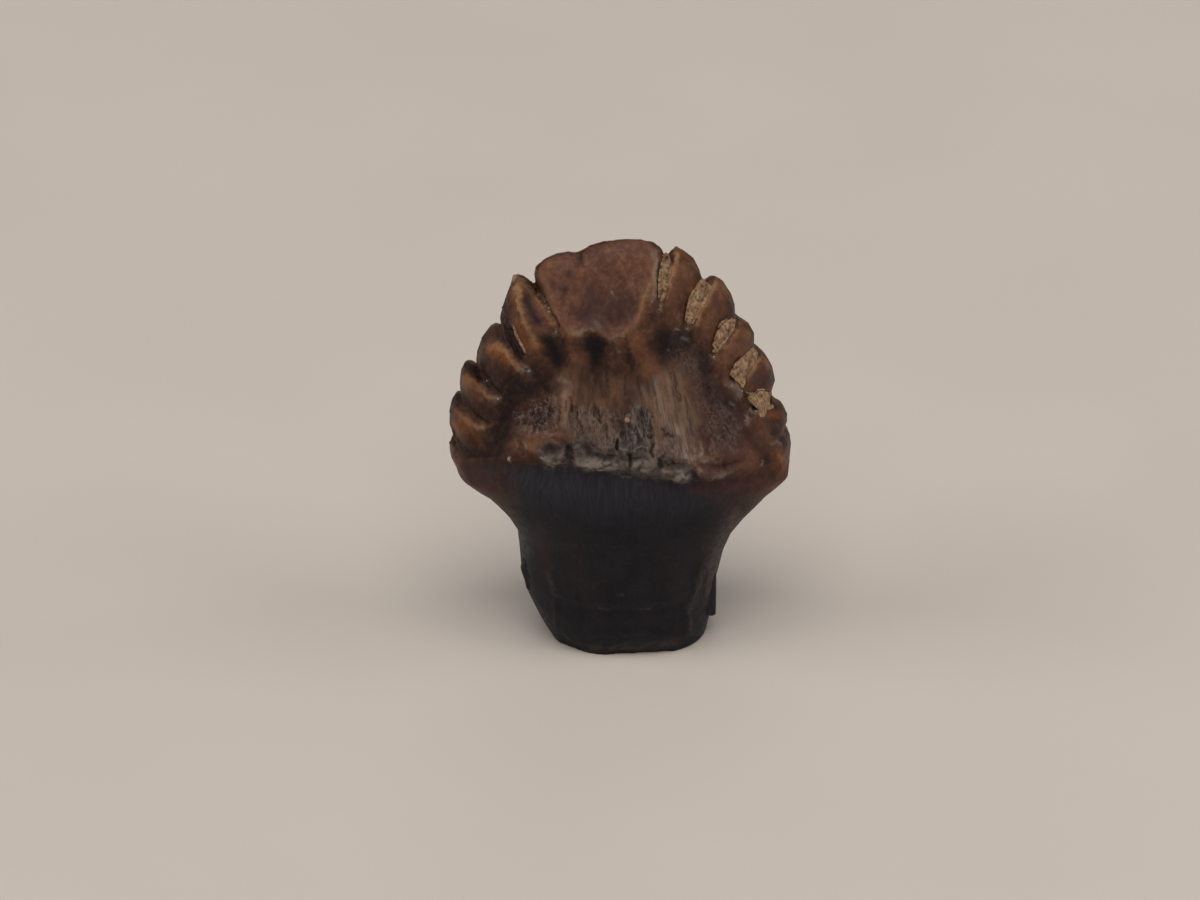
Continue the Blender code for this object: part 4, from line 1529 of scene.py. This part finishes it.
def build_crust(tree, number, rise, soundness, outline):
    """Sediment that bridges a hollow of the front and swells over its edges."""
    points, faces = sheet_of(outline, CRUST_GRID)
    hits = [cast(tree, x, y) for x, y in points]
    base = np.array([place for place, _ in hits])
    along = np.array([ray for _, ray in hits])
    away = np.linalg.norm(base - EYE, axis=1)
    edge, _, _ = polyline_distance(points, outline + outline[:1])
    neighbours = [set() for _ in points]
    for face in faces:
        for a in face:
            neighbours[a].update(face)
    level = away.copy()
    for _ in range(CRUST_SMOOTHING):
        mean = np.array([level[list(ring)].mean() for ring in neighbours])
        level = np.where(edge > CRUST_GRID, np.minimum(mean, level), level)
    inner = np.clip(edge / CRUST_EDGE, 0, 1)
    lift = rise * np.sqrt(1 - (1 - inner) ** 2)
    shaded_pits = hollows(base, CRUST_PIT, SEDIMENT_PIT_GAIN, soundness, number) * smooth_step(edge, *CRUST_PIT_EDGE)
    lift += inner * (swell(base, CRUST_GRAIN) + swell(base, CRUST_SWELL)) - CRUST_PIT.height * shaded_pits
    front = base + along * (level - away - lift)[:, None]
    behind = base + along * (CRUST_THICKNESS + np.clip(level - away, 0, None))[:, None]
    bm = bmesh.new()
    close_sheets(bm, front, behind, faces)
    crust = new_object(f"sediment_crust_{number}", bm)
    # The pits, kept for their painted shade
    store(crust.data, "shaded_pits", np.concatenate([shaded_pits, np.zeros(len(points))]))
    crust.data.shade_smooth()
    return crust


def add_slab(bm, front, depth, outline):
    """A thin slab that stands off the root's side, sharp at its edges."""
    corners = []
    for x, y in outline:
        eye, along = picture_ray(x, y)
        corners.append(np.array(eye + along * ((front - eye.y) / along.y)))
    centre = np.mean(corners, axis=0)
    rings = []
    for share in SLAB_STEPS:
        narrow = 1 - SLAB_TAPER * (2 * share - 1) ** 4
        deeper = np.array([0, depth * share, 0])
        rings.append([centre + (corner - centre) * narrow + deeper for corner in corners])
    add_loft(bm, rings)


def build_grains(tree):
    """Sand grains that stick to the enamel, sunk a little into it."""
    made = {}
    for kind in ("pale", "orange"):
        bm = bmesh.new()
        for number, (x, y, radius, colour) in enumerate(LOOSE_GRAINS):
            if colour != kind:
                continue
            place, normal, _, _ = tree.ray_cast(*picture_ray(x, y))
            if place is None:
                continue
            add_grain(bm, place - normal * radius * GRAIN_SUNK, radius, number * GRAIN_SHIFT)
        obj = new_object(f"sand_grains_{kind}", bm)
        obj.data.shade_smooth()
        made[kind] = obj
    return made


class Nodes:
    """A short way to write a material's node tree."""

    def __init__(self, name):
        self.material = bpy.data.materials.new(name)
        self.material.use_nodes = True
        self.tree = self.material.node_tree
        self.shader = self.tree.nodes["Principled BSDF"]
        coords = self.tree.nodes.new("ShaderNodeTexCoord")
        self.place = self.vector("SCALE", coords.outputs["Object"], 1000.0)

    def put(self, socket, value):
        """Links a socket to another, or sets its constant."""
        if isinstance(value, bpy.types.NodeSocket):
            self.tree.links.new(value, socket)
        elif isinstance(value, tuple) and socket.type == "RGBA":
            socket.default_value = (*value, 1)
        else:
            socket.default_value = value

    def vector(self, operation, a, b):
        """Vector maths."""
        node = self.tree.nodes.new("ShaderNodeVectorMath")
        node.operation = operation
        self.put(node.inputs[0], a)
        self.put(node.inputs["Scale"] if operation == "SCALE" else node.inputs[1], b)
        return node.outputs[0]

    def attribute(self, name):
        """A number that the mesh keeps for each point."""
        node = self.tree.nodes.new("ShaderNodeAttribute")
        node.attribute_name = name
        return node.outputs["Fac"]

    def math(self, operation, a, b=0.0, c=None):
        """Maths on numbers."""
        node = self.tree.nodes.new("ShaderNodeMath")
        node.operation = operation
        self.put(node.inputs[0], a)
        self.put(node.inputs[1], b)
        if c is not None:
            self.put(node.inputs[2], c)
        return node.outputs[0]

    def ramp(self, value, low, high, to_low=0.0, to_high=1.0):
        """An easy step from to_low to to_high, while the value goes from low to high."""
        node = self.tree.nodes.new("ShaderNodeMapRange")
        node.interpolation_type = "SMOOTHSTEP"
        for socket, number in zip(node.inputs, (value, low, high, to_low, to_high)):
            self.put(socket, number)
        return node.outputs[0]

    def shifted(self, name):
        """The place, moved along x by a number that the mesh keeps."""
        node = self.tree.nodes.new("ShaderNodeCombineXYZ")
        self.put(node.inputs["X"], self.attribute(name))
        return self.vector("ADD", self.place, node.outputs[0])

    def noise(self, size, detail=2.0, rough=0.5, shift=(0.0, 0.0, 0.0), warp=0.0, place=None):
        """Noise of a size in millimetres along each axis."""
        place = self.vector("MULTIPLY", self.place if place is None else place, tuple(1 / s for s in size))
        place = self.vector("ADD", place, shift)
        node = self.tree.nodes.new("ShaderNodeTexNoise")
        for name, value in (("Vector", place), ("Scale", 1.0), ("Detail", detail), ("Roughness", rough),
                            ("Distortion", warp)):
            self.put(node.inputs[name], value)
        return node.outputs["Fac"]

    def mix(self, share, a, b):
        """From colour a to colour b."""
        node = self.tree.nodes.new("ShaderNodeMix")
        node.data_type = "RGBA"
        self.put(node.inputs["Factor"], share)
        self.put(next(s for s in node.inputs if s.name == "A" and s.type == "RGBA"), a)
        self.put(next(s for s in node.inputs if s.name == "B" and s.type == "RGBA"), b)
        return next(s for s in node.outputs if s.type == "RGBA")

    def blend(self, value, low, high, first, second):
        """From one picture colour to a second, while the value goes from low to high."""
        return self.mix(self.ramp(value, low, high), tone(*first), tone(*second))

    def dapple(self, value, low, high, colour, top, share):
        """A colour under a share of a picture colour, which comes while the value goes from low to high."""
        return self.mix(self.ramp(value, low, high, 0.0, share), colour, tone(*top))

    def cover(self, name, colour, top, share=None):
        """A colour with another over it, as strong as a number that the mesh keeps."""
        amount = self.attribute(name)
        return self.mix(amount if share is None else self.math("MULTIPLY", amount, share), colour, top)

    def bump(self, height, distance, strength=1.0):
        """The normal over a fine relief."""
        node = self.tree.nodes.new("ShaderNodeBump")
        self.put(node.inputs["Height"], height)
        self.put(node.inputs["Distance"], distance)
        self.put(node.inputs["Strength"], strength)
        return node.outputs[0]

    def finish(self, colour, roughness, normal, **fixed):
        """Puts the results into the shader, and gives the material."""
        self.put(self.shader.inputs["Base Color"], colour)
        self.put(self.shader.inputs["Roughness"], roughness)
        self.put(self.shader.inputs["Normal"], normal)
        for name, value in fixed.items():
            self.put(self.shader.inputs[name.replace("_", " ")], value)
        return self.material


def tone(red, green, blue):
    """The surface colour that shows as this picture colour, from 0 to 255, under the studio light."""
    shown = np.array((red, green, blue)) / 255
    linear = np.where(shown <= 0.04045, shown / 12.92, ((shown + 0.055) / 1.055) ** 2.4)
    return tuple(float(value) for value in np.clip(linear / LIGHT_ON_FRONT, 0, 0.8))


def enamel_colour(n, cloud, mottle, grain, fibre, broad_fibre):
    """Brown enamel, redder on the facet's plate, streaked and shaded."""
    colour = n.blend(cloud, 0.35, 0.68, (60, 37, 28), (90, 60, 44))
    colour = n.dapple(mottle, 0.42, 0.72, colour, (104, 72, 52), 0.55)
    colour = n.dapple(grain, 0.45, 0.75, colour, (46, 31, 27), 0.45)
    plate = n.blend(mottle, 0.35, 0.70, (82, 52, 41), (106, 75, 59))
    plate = n.dapple(cloud, 0.42, 0.70, plate, (70, 45, 41), 0.5)
    colour = n.cover("facet", colour, plate, 0.85)
    streaky = n.blend(broad_fibre, 0.36, 0.64, (50, 37, 32), (92, 70, 57))
    streaky = n.dapple(fibre, 0.40, 0.60, streaky, (66, 47, 38), 0.55)
    streaky = n.dapple(fibre, 0.62, 0.74, streaky, (38, 28, 25), 0.6)
    colour = n.cover("streaks", colour, streaky, 0.75)
    return n.cover("shade", colour, n.blend(mottle, 0.4, 0.7, (30, 20, 19), (52, 36, 31)))


def root_colour(n, cloud, mottle):
    """Near-black dentine with fine upright lines, greyer at its top."""
    colour = n.blend(cloud, 0.35, 0.7, (12, 13, 18), (20, 20, 26))
    striae = n.noise((0.07, 0.4, 0.7), 5.0, 0.7, (3.0, 3.0, 3.0), 0.5, n.shifted("flare"))
    layers = n.noise((0.5, 0.5, 0.05), 4.0, 0.7, (9.0, 3.0, 6.0), 0.5)
    colour = n.dapple(striae, 0.50, 0.72, colour, (34, 31, 34), 0.35)
    colour = n.dapple(mottle, 0.50, 0.72, colour, (34, 27, 30), 0.45)
    colour = n.dapple(layers, 0.56, 0.70, colour, (38, 37, 42), 0.35)
    colour = n.cover("root_top", colour, n.blend(striae, 0.34, 0.66, (31, 30, 36), (42, 41, 46)))
    return n.cover("root_red", colour, n.blend(mottle, 0.35, 0.7, (34, 24, 25), (58, 37, 32)))


def stained(n, colour, mottle, grain, fibre):
    """Warm, red, tan, purple and grey stains, with painted highlights in tan and golden tones along the crests
    and painted shade in purple in the ledge's pockets.
    """
    colour = n.cover("warm", colour, n.blend(mottle, 0.3, 0.7, (80, 44, 20), (108, 64, 31)))
    colour = n.cover("red", colour, n.blend(mottle, 0.35, 0.7, (49, 28, 25), (65, 38, 32)))
    # The tan layer holds tan stains and painted highlights along the crests; the layer after it is painted
    # highlight only
    colour = n.cover("tan", colour, n.blend(grain, 0.3, 0.7, (98, 67, 44), (126, 91, 64)))
    colour = n.cover("gold_highlight", colour, n.blend(grain, 0.3, 0.7, (118, 86, 60), (148, 112, 80)))
    # The purple layer is partly painted shade in the ledge's pockets
    colour = n.cover("purple", colour, tone(54, 37, 38))
    return n.cover("grey", colour, n.blend(fibre, 0.36, 0.62, (82, 66, 58), (128, 110, 99)))


def weathered(n, colour, patch, broad_fibre, fanned):
    """Frayed, worn and pitted enamel, with the ledge's dusty top."""
    slit = n.noise((0.085, 0.4, 0.34), 5.0, 0.75, (6.0, 3.0, 1.0), 1.4, fanned)
    frayed = n.blend(patch, 0.38, 0.62, (50, 39, 35), (104, 88, 78))
    frayed = n.dapple(slit, 0.56, 0.66, frayed, (28, 23, 24), 0.8)
    frayed = n.dapple(slit, 0.38, 0.30, frayed, (118, 105, 95), 0.6)
    colour = n.cover("frayed", colour, frayed, n.ramp(broad_fibre, 0.35, 0.62, 0.25, 0.85))
    worn = n.blend(patch, 0.42, 0.58, (34, 31, 33), (92, 81, 74))
    worn = n.dapple(slit, 0.54, 0.66, worn, (20, 19, 22), 0.65)
    worn = n.dapple(slit, 0.44, 0.32, worn, (140, 128, 118), 0.7)
    colour = n.cover("worn", colour, worn, 0.85)
    dust = n.noise((0.16, 0.2, 0.12), 4.0, 0.7, (5.0, 5.0, 2.0), 0.6)
    colour = n.cover("ledge_top", colour, n.blend(dust, 0.36, 0.62, (40, 37, 37), (84, 73, 67)), 0.75)
    flecks = n.noise((0.09, 0.09, 0.13), 5.0, 0.75, (4.0, 6.0, 2.0), 0.8)
    pitted = n.blend(flecks, 0.47, 0.66, (33, 25, 24), (110, 96, 86))
    colour = n.cover("pits", colour, pitted, n.ramp(patch, 0.3, 0.6, 0.5, 1.0))
    specks = n.noise((0.09, 0.12, 0.14), 5.0, 0.75, (8.0, 1.0, 3.0), 0.7, fanned)
    return n.cover("speckles", colour, n.blend(specks, 0.38, 0.62, (44, 33, 32), (88, 70, 64)), 0.75)


def marked(n, colour, grain, patch):
    """Dark and pale marks, partly painted shade and painted highlights, the back's blots, and painted shade
    along the rims and in the hollows.
    """
    # The dark layer holds dark blots and painted shade in grooves, slits and gaps
    colour = n.cover("dark", colour, n.blend(grain, 0.35, 0.65, (12, 10, 12), (21, 18, 19)))
    colour = n.cover("back_blots", colour, tone(34, 25, 23))
    # The pale layer holds pale marks and painted highlights on ridges, flanks and crest ends
    chalk = n.noise((0.28, 0.28, 0.20), 5.0, 0.55, (1.0, 1.0, 1.0), 0.4)
    pale = n.blend(chalk, 0.38, 0.56, (50, 46, 44), (114, 105, 97))
    colour = n.cover("pale", colour, pale, n.ramp(patch, 0.30, 0.48, 0.55, 1.0))
    # Painted shade along the crown's outline
    colour = n.cover("rim", colour, tone(36, 23, 18), 0.65)
    # Painted shade in the sunk parts of the relief
    return n.cover("hollow", colour, tone(24, 18, 18), 0.42)


def tooth_material():
    """Brown enamel over a near-black root, with stains, worn streaks and pits, painted highlights along the
    crests, and painted shade in the hollows and, in a warm dark brown, along the thin edges.
    """
    n = Nodes("fossil_enamel")
    fanned = n.shifted("fan")
    cloud = n.noise((0.9, 0.9, 0.9), 4.0, 0.6)
    mottle = n.noise((0.20, 0.20, 0.26), 4.0, 0.65, (3.0, 1.0, 5.0), 0.3)
    grain = n.noise((0.05, 0.05, 0.05), 2.0, 0.5, (7.0, 2.0, 1.0))
    fibre = n.noise((0.11, 0.5, 0.8), 5.0, 0.7, (1.0, 4.0, 2.0), 0.5, fanned)
    broad_fibre = n.noise((0.36, 0.8, 1.6), 4.0, 0.6, (5.0, 2.0, 8.0), 0.5, fanned)
    patch = n.noise((0.15, 0.4, 0.34), 5.0, 0.72, (2.0, 9.0, 4.0), 0.9, fanned)

    colour = enamel_colour(n, cloud, mottle, grain, fibre, broad_fibre)
    colour = n.cover("root", colour, root_colour(n, cloud, mottle))
    colour = stained(n, colour, mottle, grain, fibre)
    colour = weathered(n, colour, patch, broad_fibre, fanned)
    colour = marked(n, colour, grain, patch)

    matt = n.math("ADD", n.attribute("worn"), n.math("ADD", n.attribute("pale"), n.attribute("pits")))
    roughness = n.math("ADD", n.ramp(mottle, 0.3, 0.7, 0.40, 0.52), n.math("MULTIPLY", matt, 0.2))
    roughness = n.math("ADD", roughness, n.math("MULTIPLY", n.attribute("root"), 0.08))
    roughness = n.math("MINIMUM", roughness, 0.9)
    fine = n.math("ADD", n.math("MULTIPLY", grain, 0.5), n.math("MULTIPLY", fibre, 0.5))
    gloss = n.math("MULTIPLY_ADD", n.attribute("root"), 0.09, 0.11)
    return n.finish(colour, roughness, n.bump(fine, 0.00003, 0.5), Specular_IOR_Level=gloss)


def sediment_material():
    """Buff sandstone: grains of several tones, with painted shade in its pits."""
    n = Nodes("buff_sediment")
    grain = n.noise((0.12, 0.12, 0.12), 5.0, 0.65)
    cloud = n.noise((0.4, 0.4, 0.4), 3.0, 0.6, (2.0, 2.0, 2.0))
    specks = n.noise((0.10, 0.10, 0.10), 3.0, 0.6, (6.0, 4.0, 1.0), 0.4)
    colour = n.blend(grain, 0.34, 0.64, (88, 66, 48), (152, 125, 99))
    colour = n.dapple(cloud, 0.45, 0.70, colour, (104, 78, 54), 0.5)
    colour = n.dapple(specks, 0.60, 0.70, colour, (58, 42, 32), 0.8)
    # Painted shade in the sediment's pits
    colour = n.cover("shaded_pits", colour, tone(54, 40, 30), 0.8)
    normal = n.bump(n.noise((0.04, 0.04, 0.04), 3.0, 0.7, (1.0, 5.0, 3.0)), 0.00004, 0.8)
    return n.finish(colour, 0.92, normal, Specular_IOR_Level=0.15)


def grain_material(name, low, high):
    """Quartz and feldspar grains."""
    n = Nodes(name)
    speck = n.noise((0.05, 0.05, 0.05), 3.0, 0.6)
    colour = n.mix(n.ramp(speck, 0.3, 0.7), low, high)
    normal = n.bump(n.noise((0.03, 0.03, 0.03), 2.0, 0.6, (3.0, 1.0, 2.0)), 0.00002, 0.6)
    return n.finish(colour, n.ramp(speck, 0.3, 0.7, 0.45, 0.75), normal, Specular_IOR_Level=0.4)


def floor_material():
    """Pale matt board with a faint unevenness."""
    n = Nodes("pale_floor")
    cloud = n.noise((14.0, 14.0, 14.0), 2.0, 0.5)
    colour = n.mix(n.ramp(cloud, 0.3, 0.7), (0.735, 0.655, 0.585), (0.755, 0.675, 0.603))
    normal = n.bump(n.noise((0.5, 0.5, 0.5), 2.0, 0.5), 0.00001, 0.3)
    return n.finish(colour, 0.85, normal, Specular_IOR_Level=0.15)


def dress(obj, material, nodes):
    """Scales a piece to metres, gives it its material and ties it to the object."""
    obj.data.transform(Matrix.Scale(MM, 4))
    obj.data.materials.clear()
    obj.data.materials.append(material)
    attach(obj, ROOT_BODY)
    for node in nodes:
        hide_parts(node)


def add_light(name, place, size, power, colour):
    """A square soft light that faces the tooth."""
    light = bpy.data.lights.new(name, "AREA")
    light.size = size
    light.energy = power
    light.color = colour
    obj = bpy.data.objects.new(name, light)
    obj.location = place
    obj.rotation_euler = (Vector(LIGHT_TARGET) - Vector(place)).to_track_quat("-Z", "Y").to_euler()
    bpy.context.scene.collection.objects.link(obj)


def set_stage():
    """Floor, lights, surroundings and the camera at the picture's angle."""
    bm = bmesh.new()
    corners = ((-1, -1), (1, -1), (1, 1), (-1, 1))
    bm.faces.new([bm.verts.new((x * FLOOR_HALF, y * FLOOR_HALF, 0)) for x, y in corners])
    floor = new_object("floor", bm)
    floor.data.materials.append(floor_material())

    scene = bpy.context.scene
    world = bpy.data.worlds.new("studio")
    world.use_nodes = True
    background = world.node_tree.nodes["Background"]
    background.inputs["Color"].default_value = SKY_COLOUR
    background.inputs["Strength"].default_value = SKY_STRENGTH
    scene.world = world
    for light in LIGHTS:
        add_light(*light)
    scene.view_settings.view_transform = "Standard"
    scene.view_settings.look = "None"

    camera_data = bpy.data.cameras.new("camera")
    camera_data.sensor_width = SENSOR_WIDTH
    camera_data.lens = PICTURE_SCALE * PICTURE_DISTANCE * camera_data.sensor_width / PICTURE[0]
    camera_data.clip_start, camera_data.clip_end = CLIP
    camera = bpy.data.objects.new("camera", camera_data)
    camera.location = Vector(EYE) * MM
    camera.rotation_euler = (pi / 2 - PICTURE_RISE, 0, 0)
    scene.collection.objects.link(camera)
    scene.camera = camera


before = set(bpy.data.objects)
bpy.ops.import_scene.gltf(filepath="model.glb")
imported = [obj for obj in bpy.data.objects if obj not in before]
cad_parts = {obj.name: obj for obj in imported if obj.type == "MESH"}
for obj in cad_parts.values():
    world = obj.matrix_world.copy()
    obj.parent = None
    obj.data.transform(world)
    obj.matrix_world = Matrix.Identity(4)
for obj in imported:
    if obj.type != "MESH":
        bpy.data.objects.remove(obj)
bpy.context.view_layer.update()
random.seed(4)

tooth = base_tooth()
shape_tooth(tooth)
tree = tree_of(tooth.data)
grains = build_grains(tree)
enamel = tooth_material()
sediment = sediment_material()
bm = bmesh.new()
for front, depth, outline in SLABS:
    add_slab(bm, front, depth, outline)
splinters = new_object("root_splinters", bm)
for number, crust in enumerate(CRUSTS, 1):
    dress(build_crust(tree, number, *crust), sediment, [])
for number, outline in enumerate(PLUGS, 1):
    dress(build_plug(number, outline), sediment, [f"sediment_{number}"])
dress(tooth, enamel, ["tooth"])
for name in ("root", "root_top"):
    store(splinters.data, name, np.ones(len(splinters.data.vertices)))
dress(splinters, enamel, [])
dress(grains["pale"], grain_material("pale_sand", tone(96, 82, 70), tone(146, 130, 112)), [])
dress(grains["orange"], grain_material("orange_sand", tone(118, 86, 62), tone(150, 112, 80)), [])
set_stage()
